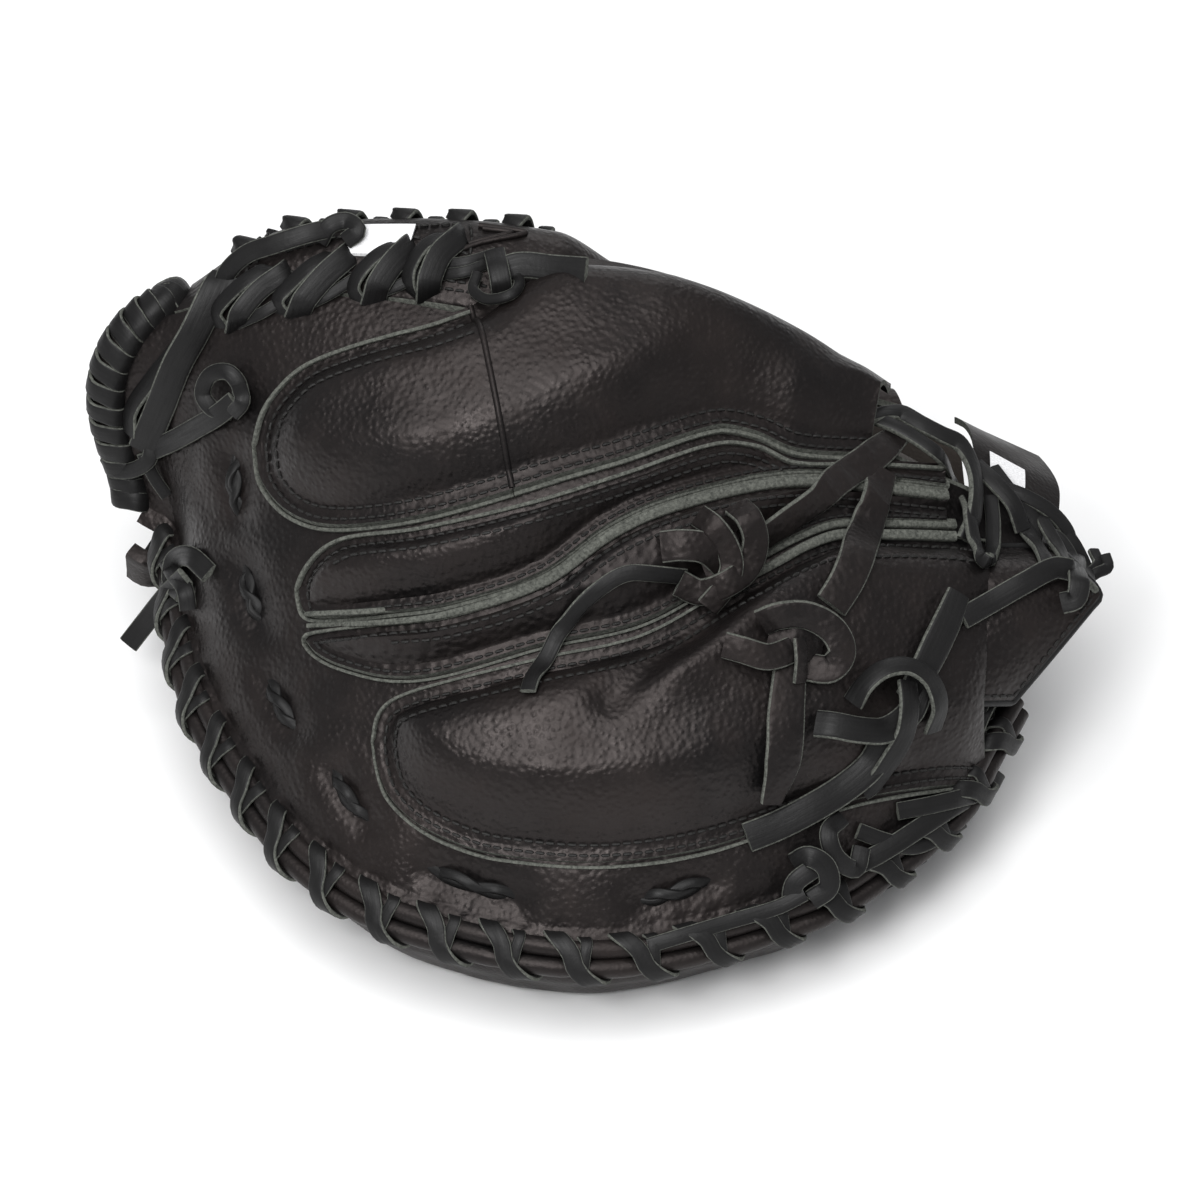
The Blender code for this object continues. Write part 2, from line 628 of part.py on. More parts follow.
def wrist():
    sheet("wrist_strap", LEATHER, spaced(0.925, 1.02, 4), always(-0.36), always(CREASE),
          always(-STRAP_LIFT), PANEL, 8)
    sheet("strap_label", LABEL, spaced(0.945, 1.0, 3), always(-0.12), always(0.14),
          always(-STRAP_LABEL_LIFT), LABEL_THICK, 4)
    under = []
    for s in spaced(0.0, 1.0, 6):
        roots = [on_back(FLAP_START, v, -FLAP_LIFT) for v in spaced(*FLAP_V, len(FLAP_ENDS))]
        under.append([root + np.array([(end - FLAP_START) * s, FLAP_DROOP * s * s, -FLAP_DROOP * s * s])
                      for root, end in zip(roots, FLAP_ENDS)])
    rise = np.array([0.0, -PANEL * LEAN, PANEL * LEAN])
    slab("wrist_flap", LEATHER, [[point + rise for point in row] for row in under], under)
    opening = [on_back(*spline(OPENING_ROUTE, s), -FLAP_LIFT) for s in spaced(0, 1, 9)]
    tube("opening_lace", LACE, opening, OPENING_LACE)
    laid("wrist_tie", [(139, 6), (132, 2), (121, -3), (108, -8)], LACE_WIDTH, LACE_THICK, 8, 20.0,
         [(0.15, *WRIST_KNOT)])


WEB_TIE_T = (0.0, 0.03, 0.06, 0.08, 0.09, 0.1, 0.12)
WEB_TIE_LIFTS = (7.0, 7.5, 7.5, 7.5, 7.5, 7.5, 7.0)
WEB_TIE_WIDTHS = [LACE_WIDTH] * 4 + [8.0, 11.0, 7.0]
WEB_TIE_THICKS = [LACE_THICK] * 4 + [4.0, 8.0, 4.0]


def web_details():
    """Label on the web, and a lace across it that ends in a knot."""
    sheet("web_label", LABEL, spaced(0.20, 0.26, 3), always(0.04), always(0.18), always(-1.0),
          LABEL_THICK, 4)
    spots = list(zip(spaced(0.07, 0.2, len(WEB_TIE_T)), WEB_TIE_T))
    ribbon("web_tie", LACE, [place(u, t, -lift) for (u, t), lift in zip(spots, WEB_TIE_LIFTS)],
           [outward(u, t, 0) for u, t in spots], WEB_TIE_WIDTHS, WEB_TIE_THICKS)


THUMB_STITCHES = (0.14, 0.19)      # u of each


def thumb_details():
    """Pad lace stitches and the loop for the thumb inside its stall."""
    for number, u in enumerate(THUMB_STITCHES, 1):
        spots = [(u + k * 0.002, 0.72 + k * 0.05) for k in range(3)]
        ribbon(f"thumb_lace_stitch_{number}", LACE, [place(a, b, -1.8) for a, b in spots],
               [outward(a, b, 0) for a, b in spots], [LACE_WIDTH * 0.8] * 3, [LACE_THICK] * 3)
    spots = [(0.62, t) for t in spaced(0.69, 0.86, 6)]
    ribbon("thumb_loop", LACE, [place(a, b, -2.5 - 6 * math.sin(math.pi * k / 5))
                                for k, (a, b) in enumerate(spots)],
           [outward(a, b, 0) for a, b in spots], [LACE_WIDTH] * 6, [LACE_THICK] * 6)


def heel():
    """Rolled edge of the palm at the finger half's heel."""
    ts = spaced(-0.86, -0.24, 8)
    tube("heel_roll", LEATHER, [place(1.0, t, 5.0) for t in ts], ROLL)


def hang_thumb_half():
    """Parent the thumb half to an empty on the fold's axis."""
    tip, other = np.array(FOLD_TIP) * MM, np.array(FOLD_HEEL) * MM
    hinge = bpy.data.objects.new("thumb_fold", None)
    hinge.location = (tip + other) / 2
    bpy.context.scene.collection.objects.link(hinge)
    for thing in list(bpy.data.objects):
        if thing.type == "MESH" and (thing.name.startswith("thumb_") or thing.name == "web_thumb_lace"):
            thing.parent = hinge
            thing.location = -hinge.location


def main():
    clear_scene()
    finger_half()
    thumb_half()
    palm_middle()
    web()
    rim("finger", -1, *FINGER_RIM)
    rim("thumb", 1, *THUMB_RIM)
    web_binding()
    zigzag("web_finger_lace", *FINGER_LACING)
    zigzag("web_thumb_lace", *THUMB_LACING)
    finger_stalls()
    thumb_stall()
    pad_lace()
    finger_ties()
    wrist()
    web_details()
    thumb_details()
    heel()
    hang_thumb_half()


main()
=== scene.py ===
"""Looks of the catcher's mitt: leather, laces, stitching, light and camera.

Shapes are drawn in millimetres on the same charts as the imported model: u runs from the
web's top edge to the heel, t from the front rim (-1) over the crest (0) to the rear rim
(1), and m is the depth below the outer skin. The back is also drawn on a plane that
leans 45 degrees and faces the camera: x along it and v up it.
"""
import math

import bmesh
import bpy
import numpy as np
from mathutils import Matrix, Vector, noise
from mathutils.bvhtree import BVHTree


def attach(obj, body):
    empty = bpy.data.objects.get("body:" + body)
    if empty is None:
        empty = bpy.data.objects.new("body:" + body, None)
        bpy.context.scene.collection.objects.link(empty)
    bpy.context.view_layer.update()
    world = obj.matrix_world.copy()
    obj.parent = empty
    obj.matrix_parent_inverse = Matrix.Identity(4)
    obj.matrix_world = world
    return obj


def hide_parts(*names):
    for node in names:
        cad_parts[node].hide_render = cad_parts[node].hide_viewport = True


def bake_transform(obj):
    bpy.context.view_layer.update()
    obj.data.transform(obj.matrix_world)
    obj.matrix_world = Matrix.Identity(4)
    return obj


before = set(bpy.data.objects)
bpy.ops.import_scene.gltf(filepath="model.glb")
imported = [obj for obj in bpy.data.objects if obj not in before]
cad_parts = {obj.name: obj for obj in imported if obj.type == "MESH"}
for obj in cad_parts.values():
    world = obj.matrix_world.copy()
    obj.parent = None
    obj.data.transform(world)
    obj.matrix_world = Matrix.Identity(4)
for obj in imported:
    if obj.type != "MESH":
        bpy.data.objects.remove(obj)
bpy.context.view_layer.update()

MM = 0.001
FINGER, THUMB = "finger_side", "thumb_side"

# ---- sizes in millimetres; the skins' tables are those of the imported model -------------

ORIGIN = np.array([-4.0, 2.5, 0.0])
PANEL = 2.2
LACE_WIDTH = 6.3
LACE_THICK = 1.6
TIE_WIDTH = 11.0
TIE_THICK = 2.2
ROLL = 2.95          # radius of each rim roll
ROLL_PITCH = 2.9     # from the rim line's middle to each roll's middle
RIM_OUT = 8.8        # from a panel's edge to the rim line's middle
WRAP_OUT = 6.9       # half width and half height of one turn of rim lace
WRAP_UP = 4.3
BINDING_OUT, BINDING_DOWN = 5.4, 1.5     # middle of the web's edge roll
BINDING_ROLL = 4.7
BINDING_WRAP = 5.6
BINDING_TURNS = 25
LEAN = math.sqrt(0.5)
LEAN_FOOT = 75.0
FLOOR_BAND = 6.0

FRONT_RIM = [(-140, 58, 58), (-131, 51, 56), (-126, 23, 52), (-118, -7, 48), (-104, -35, 44),
             (-83, -66, 41), (-53, -87, 39), (1, -99, 38), (58, -83, 39), (85, -64, 41),
             (106, -43, 44), (116, -26, 48)]
CREST = [(-128, 86, 120), (-103, 82, 137), (-60, 76, 146), (-20, 70, 146), (20, 64, 138),
         (60, 58, 118), (90, 54, 101), (115, 50, 87), (133, 48, 76)]
REAR_RIM = [(-128, 104, 60), (-100, 108, 40), (-55, 111, 28), (0, 113, 24), (50, 111, 26),
            (90, 104, 32), (118, 92, 44)]
FRONT_FOOT = [(0.0, 40), (0.13, 18), (0.26, -3), (0.82, -3), (1.0, 12)]
REAR_FOOT = [(0.0, 36), (0.15, 12), (0.25, -3), (0.80, -3), (1.0, 12)]
CREST_WALL = [(0.0, 9), (0.35, 10), (0.5, 26), (0.7, 38), (1.0, 44)]
FRONT_INSET = [(0.0, 8), (0.2, 16)]
REAR_INSET = [(0.0, 12), (0.25, 26)]
FRONT_SLOPE = math.radians(50)
REAR_SLOPE = math.radians(82)
WEB_BULGE = 12.0
WEB_BOWED = 0.2
WEB_FRONT, WEB_REAR, WEB_END = -0.125, 0.38, 0.42
CREASE, THUMB_EDGE = 0.36, 0.46
FINGER_EDGES = [(0.0, -0.14), (0.4, -0.14), (0.5, -0.1), (1.0, -0.16)]
THUMB_EDGES = [(0.0, THUMB_EDGE), (0.6, THUMB_EDGE), (1.0, 0.66)]


# ---- the charts ------------------------------------------------------------------------

def unit(vectors):
    return vectors / np.maximum(np.linalg.norm(vectors, axis=-1, keepdims=True), 1e-9)


def smooth(share):
    share = np.clip(share, 0.0, 1.0)
    return share * share * (3 - 2 * share)


def hermite(a, a_pull, b, b_pull, s):
    squared, cubed = s * s, s * s * s
    return ((2 * cubed - 3 * squared + 1) * a + (cubed - 2 * squared + s) * a_pull
            + (3 * squared - 2 * cubed) * b + (cubed - squared) * b_pull)


def spline(points, s):
    """Smooth curve through the points at 0 <= s <= 1, straight on past its ends."""
    points = np.array(points, float)
    s = np.asarray(s, float)
    steps = np.linalg.norm(np.diff(points, axis=0), axis=1)
    knots = np.concatenate([[0.0], np.cumsum(steps)]) / steps.sum()
    before = np.maximum(np.arange(len(points)) - 1, 0)
    after = np.minimum(np.arange(len(points)) + 1, len(points) - 1)
    pulls = (points[after] - points[before]) / (knots[after] - knots[before])[:, None]
    held = np.clip(s, 0.0, 1.0)
    i = np.clip(np.searchsorted(knots, held, side="right") - 1, 0, len(points) - 2)
    span = (knots[i + 1] - knots[i])[..., None]
    share = (held - knots[i])[..., None] / span
    on = hermite(points[i], pulls[i] * span, points[i + 1], pulls[i + 1] * span, share)
    return on + pulls[0] * np.minimum(s, 0.0)[..., None] + pulls[-1] * np.maximum(s - 1.0, 0.0)[..., None]


def table(rows, u):
    """Smooth value between the rows (u, value)."""
    spots = np.array([row[0] for row in rows], float)
    values = np.array([row[1] for row in rows], float)
    u = np.clip(u, spots[0], spots[-1])
    i = np.clip(np.searchsorted(spots, u, side="right") - 1, 0, len(rows) - 2)
    return values[i] + (values[i + 1] - values[i]) * smooth((u - spots[i]) / (spots[i + 1] - spots[i]))


def flat_unit(vectors):
    return unit(vectors * np.array([1.0, 1.0, 0.0]))


def half(rim, crest, across, slope, t):
    """Arch from the crest at t = 0 down to the rim at t = 1, and straight on past it."""
    length = np.linalg.norm(crest - rim, axis=-1, keepdims=True)
    rise = flat_unit(crest - rim) * math.cos(slope) + np.array([0, 0, math.sin(slope)])
    past = rim - rise * length * (t - 1.0)
    return np.where(t > 1.0, past, hermite(rim, rise * length, crest, across * length * 0.85, 1.0 - t))


def two_legs(t, front, top, rear, across):
    """The arch on both sides of the crest."""
    share = np.abs(t)[..., None]
    ahead = half(front, top, across, FRONT_SLOPE, share)
    behind = half(rear, top, -across, REAR_SLOPE, share)
    return np.where(t[..., None] <= 0, ahead, behind)


def outer(u, t):
    """Point of the outer skin."""
    u, t = np.broadcast_arrays(np.asarray(u, float), np.asarray(t, float))
    front, top, rear = spline(FRONT_RIM, u), spline(CREST, u), spline(REAR_RIM, u)
    point = two_legs(t, front, top, rear, flat_unit(rear - front))
    bow = WEB_BULGE * np.maximum(0.0, 1 - np.maximum(u, 0.0) / WEB_BOWED) ** 2
    point[..., 0] -= bow * np.sin(math.pi * np.clip(-t, 0.0, 1.0)) ** 1.5
    return point


def inner(u, t):
    """Point of the pocket skin."""
    u, t = np.broadcast_arrays(np.asarray(u, float), np.asarray(t, float))
    front, top, rear = spline(FRONT_RIM, u), spline(CREST, u), spline(REAR_RIM, u)
    pocket = top.copy()
    pocket[..., 2] -= table(CREST_WALL, u)
    front_foot = front + flat_unit(top - front) * table(FRONT_INSET, u)[..., None]
    front_foot[..., 2] = table(FRONT_FOOT, u)
    rear_foot = rear + flat_unit(top - rear) * table(REAR_INSET, u)[..., None]
    rear_foot[..., 2] = table(REAR_FOOT, u)
    return two_legs(t, front_foot, pocket, rear_foot, flat_unit(rear - front))


def wall(u, t):
    """Thickness of the mitt between its two skins."""
    return np.linalg.norm(inner(u, t) - outer(u, t), axis=-1)


def place(u, t, m):
    """World place, in millimetres, m below the outer skin and never below its own floor."""
    skin, pocket = outer(u, t), inner(u, t)
    deep = np.linalg.norm(pocket - skin, axis=-1)
    m = np.broadcast_to(np.asarray(m, float), deep.shape)
    point = skin + (pocket - skin) * (m / deep)[..., None]
    left = deep - m
    point[..., 2] = np.where(left < FLOOR_BAND, np.maximum(point[..., 2], left), point[..., 2])
    return point - ORIGIN


def outward(u, t):
    return unit(place(u, t, -1.0) - place(u, t, 0.0))


def edge_frame(point, along, beyond, deep):
    """Place of an edge, square to its run: the directions out past it and down into the wall."""
    run = unit(along)
    out = unit(beyond - (beyond * run).sum(-1, keepdims=True) * run)
    down = deep - (deep * run).sum(-1, keepdims=True) * run
    return point - ORIGIN, out, unit(down - (down * out).sum(-1, keepdims=True) * out)


def rim_frame(u, side):
    """Place of the rim at u, and its directions out past the edge and down into the wall."""
    near = 0.01
    point = outer(u, side)
    along = outer(u + near, side) - outer(u - near, side)
    beyond = outer(u, side * (1 + near)) - point
    return edge_frame(point, along, beyond, inner(u, side) - point)


def web_frame(t):
    near = 0.01
    point = outer(0.0, t)
    along = outer(0.0, t + near) - outer(0.0, t - near)
    return edge_frame(point, along, point - outer(2 * near, t), inner(0.0, t) - point)


def from_frame(edge, out, down, floor=0.0):
    out, down = np.asarray(out, float)[..., None], np.asarray(down, float)[..., None]
    point = edge[0] + edge[1] * out + edge[2] * down
    point[..., 2] = np.maximum(point[..., 2], floor)
    return point


def drawing(u, t):
    """Where the outer skin's point is on the drawing plane."""
    point = outer(u, t)
    return np.stack([point[..., 0], (point[..., 1] + point[..., 2] - LEAN_FOOT) * LEAN], -1)


COARSE_U, COARSE_T = np.meshgrid(np.linspace(0, 1.12, 60), np.linspace(-1.1, 0, 40), indexing="ij")
COARSE = drawing(COARSE_U, COARSE_T)


def chart(spots):
    """Chart coordinates of the outer skin's points at the drawn places (x, v)."""
    spots = np.asarray(spots, float)
    flat = spots.reshape(-1, 2)
    gaps = np.linalg.norm(COARSE.reshape(-1, 2)[None] - flat[:, None], axis=-1)
    nearest = gaps.argmin(1)
    u, t = COARSE_U.ravel()[nearest], COARSE_T.ravel()[nearest]
    step = 0.004
    for _ in range(6):
        here = drawing(u, t)
        along = (drawing(u + step, t) - here) / step
        across = (drawing(u, t + step) - here) / step
        miss = flat - here
        area = along[:, 0] * across[:, 1] - along[:, 1] * across[:, 0]
        area = np.where(np.abs(area) < 1.0, 1.0, area)
        du = (miss[:, 0] * across[:, 1] - miss[:, 1] * across[:, 0]) / area
        dt = (along[:, 0] * miss[:, 1] - along[:, 1] * miss[:, 0]) / area
        u = u + np.clip(du, -0.05, 0.05)
        t = np.minimum(t + np.clip(dt, -0.08, 0.08), 0.0)
    return u.reshape(spots.shape[:-1]), t.reshape(spots.shape[:-1])


def finger_edge(u):
    return table(FINGER_EDGES, u)


def thumb_edge(u):
    return table(THUMB_EDGES, u)


def rough(points, pitch, seed=0.0):
    """Smooth noise of -1 to 1 at each point; pitch is the size of its lumps."""
    flat = points.reshape(-1, 3) / pitch + seed
    return np.array([noise.noise(Vector(p)) for p in flat]).reshape(points.shape[:-1])


def line_gap(points, line):
    """Distance of each point from a polyline."""
    points, line = np.asarray(points, float), np.asarray(line, float)
    best = np.full(points.shape[:-1], 1e9)
    for a, b in zip(line[:-1], line[1:]):
        run = b - a
        share = np.clip(((points - a) @ run) / max(run @ run, 1e-9), 0, 1)
        best = np.minimum(best, np.linalg.norm(points - a - share[..., None] * run, axis=-1))
    return best


# ---- materials -------------------------------------------------------------------------

class Shader:
    """A Principled material under construction."""

    def __init__(self, name, roughness, specular=0.35):
        self.material = bpy.data.materials.new(name)
        self.material.use_nodes = True
        self.tree = self.material.node_tree
        self.shader = self.tree.nodes["Principled BSDF"]
        self.shader.inputs["Roughness"].default_value = roughness
        self.shader.inputs["Specular IOR Level"].default_value = specular
        self.coordinates = self.tree.nodes.new("ShaderNodeTexCoord")
        self.normal = None

    def link(self, output, target):
        self.tree.links.new(output, target)

    def place(self, kind, stretch):
        mapping = self.tree.nodes.new("ShaderNodeMapping")
        mapping.inputs["Scale"].default_value = stretch
        self.link(self.coordinates.outputs[kind], mapping.inputs["Vector"])
        return mapping.outputs["Vector"]

    def noise(self, scale, detail=3.0, rough=0.5, kind="Object", stretch=(1, 1, 1)):
        made = self.tree.nodes.new("ShaderNodeTexNoise")
        made.inputs["Scale"].default_value = scale
        made.inputs["Detail"].default_value = detail
        made.inputs["Roughness"].default_value = rough
        self.link(self.place(kind, stretch), made.inputs["Vector"])
        return made.outputs["Fac"]

    def cells(self, scale, feature="SMOOTH_F1", kind="Object", stretch=(1, 1, 1)):
        made = self.tree.nodes.new("ShaderNodeTexVoronoi")
        made.feature = feature
        made.inputs["Scale"].default_value = scale
        self.link(self.place(kind, stretch), made.inputs["Vector"])
        return made.outputs["Distance"]

    def span(self, value, low, high, out_low=0.0, out_high=1.0):
        made = self.tree.nodes.new("ShaderNodeMapRange")
        made.inputs["From Min"].default_value = low
        made.inputs["From Max"].default_value = high
        made.inputs["To Min"].default_value = out_low
        made.inputs["To Max"].default_value = out_high
        self.link(value, made.inputs["Value"])
        return made.outputs["Result"]

    def mix(self, share, first, second):
        made = self.tree.nodes.new("ShaderNodeMix")
        made.data_type = "RGBA"
        self.link(share, made.inputs["Factor"])
        for socket, value in (("A", first), ("B", second)):
            target = [i for i in made.inputs if i.name == socket and i.type == "RGBA"][0]
            if isinstance(value, tuple):
                target.default_value = (*value, 1.0)
            else:
                self.link(value, target)
        return [o for o in made.outputs if o.type == "RGBA"][0]

    def bump(self, height, distance, strength=1.0):
        made = self.tree.nodes.new("ShaderNodeBump")
        made.inputs["Distance"].default_value = distance
        made.inputs["Strength"].default_value = strength
        self.link(height, made.inputs["Height"])
        if self.normal is not None:
            self.link(self.normal, made.inputs["Normal"])
        self.normal = made.outputs["Normal"]

    def done(self, colour, roughness=None):
        self.link(colour, self.shader.inputs["Base Color"])
        if roughness is not None:
            self.link(roughness, self.shader.inputs["Roughness"])
        if self.normal is not None:
            self.link(self.normal, self.shader.inputs["Normal"])
        return self.material


DYED, WEATHERED, RUBBED = (0.0032, 0.0031, 0.0033), (0.0085, 0.0068, 0.0065), (0.013, 0.0092, 0.0082)


def leather(name, grain=620, depth=0.00026, gloss=(0.34, 0.5)):
    """Dyed steerhide: pebbled grain, fine wrinkles, brown where the dye is rubbed."""
    s = Shader(name, 0.42, 0.28)
    s.shader.inputs["Specular Tint"].default_value = (1.0, 0.88, 0.85, 1.0)
    pebbles = s.cells(grain)
    broad = s.noise(22, 3)
    patchy = s.noise(90, 4)
    s.bump(s.noise(240, 5, 0.6), 0.0005, 0.25)
    s.bump(s.span(pebbles, 0.1, 0.75, 1.0, 0.0), depth, 0.8)
    s.bump(s.noise(2600, 2), 0.00008, 0.35)
    colour = s.mix(s.span(broad, 0.38, 0.68), DYED, WEATHERED)
    colour = s.mix(s.span(patchy, 0.55, 0.8, 0.0, 0.3), colour, RUBBED)
    return s.done(colour, s.span(patchy, 0.3, 0.7, gloss[0], gloss[1]))


def raw_edge():
    """Cut edge of the hide: pale grey-green fibres."""
    s = Shader("raw_edge", 0.95, 0.1)
    fibres = s.noise(900, 4, 0.7)
    s.bump(fibres, 0.0005, 0.8)
    return s.done(s.mix(s.span(fibres, 0.3, 0.7), (0.035, 0.037, 0.033), (0.14, 0.145, 0.128)))


def suede():
    """Flesh side of the hide."""
    s = Shader("leather_flesh_side", 0.95, 0.1)
    nap = s.noise(1100, 4, 0.7)
    s.bump(nap, 0.0004, 0.7)
    return s.done(s.mix(s.span(nap, 0.35, 0.7), (0.011, 0.011, 0.0108), (0.04, 0.04, 0.038)))


LACE_ROUGHNESS = 0.44


def lace_leather():
    """Oiled lace: lengthwise fibres and fine cross wrinkles."""
    s = Shader("lace_black", LACE_ROUGHNESS, 0.22)
    fibres = s.noise(1.0, 4, 0.6, "UV", (60, 900, 1))
    s.bump(fibres, 0.00022, 0.6)
    s.bump(s.noise(700, 3), 0.00015, 0.5)
    colour = s.mix(s.noise(70, 3), (0.0035, 0.0034, 0.0036), (0.0095, 0.0092, 0.0092))
    return s.done(colour, s.span(fibres, 0.3, 0.7, LACE_ROUGHNESS - 0.06, LACE_ROUGHNESS + 0.16))


def thread():
    s = Shader("waxed_thread", 0.6, 0.3)
    twist = s.noise(2200, 2)
    s.bump(twist, 0.0002, 0.8)
    return s.done(s.mix(twist, (0.004, 0.004, 0.004), (0.018, 0.017, 0.016)))


def felt():
    s = Shader("pressed_felt", 1.0, 0.1)
    fibres = s.noise(800, 5, 0.7)
    s.bump(fibres, 0.0006, 0.8)
    return s.done(s.mix(fibres, (0.35, 0.33, 0.3), (0.6, 0.58, 0.54)))


def lining_leather():
    s = Shader("palm_lining_leather", 0.7, 0.25)
    grain = s.cells(1100)
    s.bump(s.span(grain, 0.1, 0.7, 1.0, 0.0), 0.00012, 0.6)
    s.bump(s.noise(60, 4), 0.001, 0.5)
    return s.done(s.mix(s.noise(30, 3), (0.03, 0.025, 0.022), (0.06, 0.05, 0.043)))


def woven_label():
    """Blank woven patch."""
    s = Shader("label_white", 0.6, 0.3)
    weave = s.noise(1.0, 1, 0.5, "UV", (1500, 2300, 1))
    s.bump(weave, 0.00012, 0.6)
    return s.done(s.mix(s.span(weave, 0.35, 0.65), (0.66, 0.66, 0.67), (0.83, 0.83, 0.84)))


LEATHER = leather("leather_black")
PEBBLED = leather("leather_pebbled", 430, 0.0004, gloss=(0.36, 0.5))
SMOOTH = leather("leather_smooth", 900, 0.0001, gloss=(0.42, 0.58))
RAW = raw_edge()
SUEDE = suede()
LACE = lace_leather()
THREAD = thread()
FELT = felt()
LINING = lining_leather()
LABEL = woven_label()


# ---- pieces ----------------------------------------------------------------------------

SURFACES = []        # (points, faces) that laces on the back lie on


class Shape:
    """Points, faces, materials and lengthwise coordinates gathered into one piece."""

    def __init__(self):
        self.points, self.faces, self.looks, self.uvs = [], [], [], []
        self.count = 0

    def add(self, points, faces, looks, uvs=None):
        """Take in one more closed body; looks are the faces' material numbers."""
        points = np.asarray(points, float).reshape(-1, 3)
        self.points.append(points)
        self.uvs.append(np.zeros((len(points), 2)) if uvs is None else np.asarray(uvs, float).reshape(-1, 2))
        self.faces.extend(tuple(i + self.count for i in face) for face in faces)
        self.looks.extend(looks)
        self.count += len(points)
        return self

    def finish(self, name, body, materials, replaces=(), slot="leather_black", ride=True):
        """Make the object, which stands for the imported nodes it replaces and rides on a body."""
        points = np.concatenate(self.points)
        uvs = np.concatenate(self.uvs)
        mesh = bpy.data.meshes.new(name)
        mesh.from_pydata((points * MM).tolist(), [], self.faces)
        for made in materials:
            mesh.materials.append(made)
        mesh.polygons.foreach_set("material_index", np.array(self.looks, np.int32))
        layer = mesh.uv_layers.new(name="UVMap")
        loops = np.zeros(len(mesh.loops), np.int32)
        mesh.loops.foreach_get("vertex_index", loops)
        layer.data.foreach_set("uv", (uvs[loops] * MM).ravel())
        shape = bmesh.new()
        shape.from_mesh(mesh)
        bmesh.ops.recalc_face_normals(shape, faces=shape.faces)
        shape.to_mesh(mesh)
        shape.free()
        mesh.shade_smooth()
        mesh.set_sharp_from_angle(angle=math.radians(48))
        thing = bpy.data.objects.new(name, mesh)
        bpy.context.scene.collection.objects.link(thing)
        if replaces:
            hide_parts(*replaces)
        if ride:
            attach(thing, body)
        return thing


def grid_faces(rows, cols, start=0):
    index = np.arange(rows * cols).reshape(rows, cols) + start
    quads = np.stack([index[:-1, :-1], index[:-1, 1:], index[1:, 1:], index[1:, :-1]], -1)
    return [tuple(int(i) for i in quad) for quad in quads.reshape(-1, 4)]


def slab(shape, top, under):
    """Closed sheet: grain side 0, flesh side 1, cut edge 2."""
    rows, cols = top.shape[:2]
    size = rows * cols
    faces = grid_faces(rows, cols)
    looks = [0] * len(faces)
    below = [tuple(reversed(face)) for face in grid_faces(rows, cols, size)]
    border = list(range(cols))
    border += [i * cols + cols - 1 for i in range(1, rows)]
    border += [(rows - 1) * cols + j for j in range(cols - 2, -1, -1)]
    border += [i * cols for i in range(rows - 2, 0, -1)]
    rim = [(b, a, size + a, size + b) for a, b in zip(border, border[1:] + border[:1])]
    looks += [1] * len(below) + [2] * len(rim)
    shape.add(np.concatenate([top.reshape(-1, 3), under.reshape(-1, 3)]), faces + below + rim, looks)
    return shape


def keep_surface(top):
    SURFACES.append((top.reshape(-1, 3), grid_faces(*top.shape[:2])))


def leather_sheet(name, body, top, under, replaces=(), grain=None, slot="leather_black", lies_under=True):
    """Piece of leather between two surfaces; laces lie on it when it lies under them."""
    if lies_under:
        keep_surface(top)
    return slab(Shape(), top, under).finish(name, body, [grain or LEATHER, SUEDE, RAW], replaces, slot)


def headings(points):
    ahead = np.vstack([points[1:], 2 * points[-1:] - points[-2:-1]])
    behind = np.vstack([2 * points[:1] - points[1:2], points[:-1]])
    return unit(ahead - behind)


def along(points, pitch):
    """The polyline through the points, smoothed and evenly spaced."""
    points = np.asarray(points, float)
    fine = spline(points, np.linspace(0, 1, 20 * len(points)))
    steps = np.linalg.norm(np.diff(fine, axis=0), axis=1)
    walked = np.concatenate([[0], np.cumsum(steps)])
    spots = np.linspace(0, walked[-1], max(int(walked[-1] / pitch), 3))
    return np.stack([np.interp(spots, walked, fine[:, k]) for k in range(fine.shape[1])], -1)


def spread(values, count):
    """The values stretched evenly over count points."""
    values = np.asarray(values, float)
    return np.interp(np.linspace(0, 1, count), np.linspace(0, 1, len(values)), values)


TIE = leather("leather_tie", 520, 0.0003, gloss=(0.44, 0.56))
LACE_SIDES = 14
LACE_ROUND = [2 * math.pi * (k + 0.5) / LACE_SIDES for k in range(LACE_SIDES)]
LACE_SQUARENESS, LACE_ROUNDING = 0.4, 0.75
EDGE_FACE = 0.8      # cosine past which a lace's side counts as its cut edge


def lace(shape, centres, normals, width, thick):
    """Flat lace with rounded edges; the side away from the normal is its flesh side."""
    centres, normals = np.asarray(centres, float), np.asarray(normals, float)
    count, sides = len(centres), len(LACE_ROUND)
    ahead = headings(centres)
    side = unit(np.cross(ahead, normals))
    up = unit(np.cross(side, ahead))
    width = np.broadcast_to(width, (count,)) / 2
    thick = np.broadcast_to(thick, (count,)) / 2
    across = np.array([math.copysign(abs(math.cos(a)) ** LACE_SQUARENESS, math.cos(a)) for a in LACE_ROUND])
    over = np.array([math.copysign(abs(math.sin(a)) ** LACE_ROUNDING, math.sin(a)) for a in LACE_ROUND])
    rings = (centres[:, None] + side[:, None] * (across[None] * width[:, None])[..., None]
             + up[:, None] * (over[None] * thick[:, None])[..., None])
    walked = np.concatenate([[0], np.cumsum(np.linalg.norm(np.diff(centres, axis=0), axis=1))])
    uvs = np.stack([np.repeat(walked[:, None], sides, 1), across[None] * width[:, None]], -1)
    faces, looks = [tuple(range(sides - 1, -1, -1))], [2]
    for i in range(count - 1):
        for k in range(sides):
            a, b = i * sides + k, i * sides + (k + 1) % sides
            faces.append((a, b, b + sides, a + sides))
            middle = (LACE_ROUND[k] + math.pi / sides) % (2 * math.pi)
            edge = abs(math.cos(middle)) > EDGE_FACE
            looks.append(2 if edge else (0 if math.sin(middle) > 0 else 1))
    faces.append(tuple((count - 1) * sides + k for k in range(sides)))
    looks.append(2)
    return shape.add(rings, faces, looks, uvs)


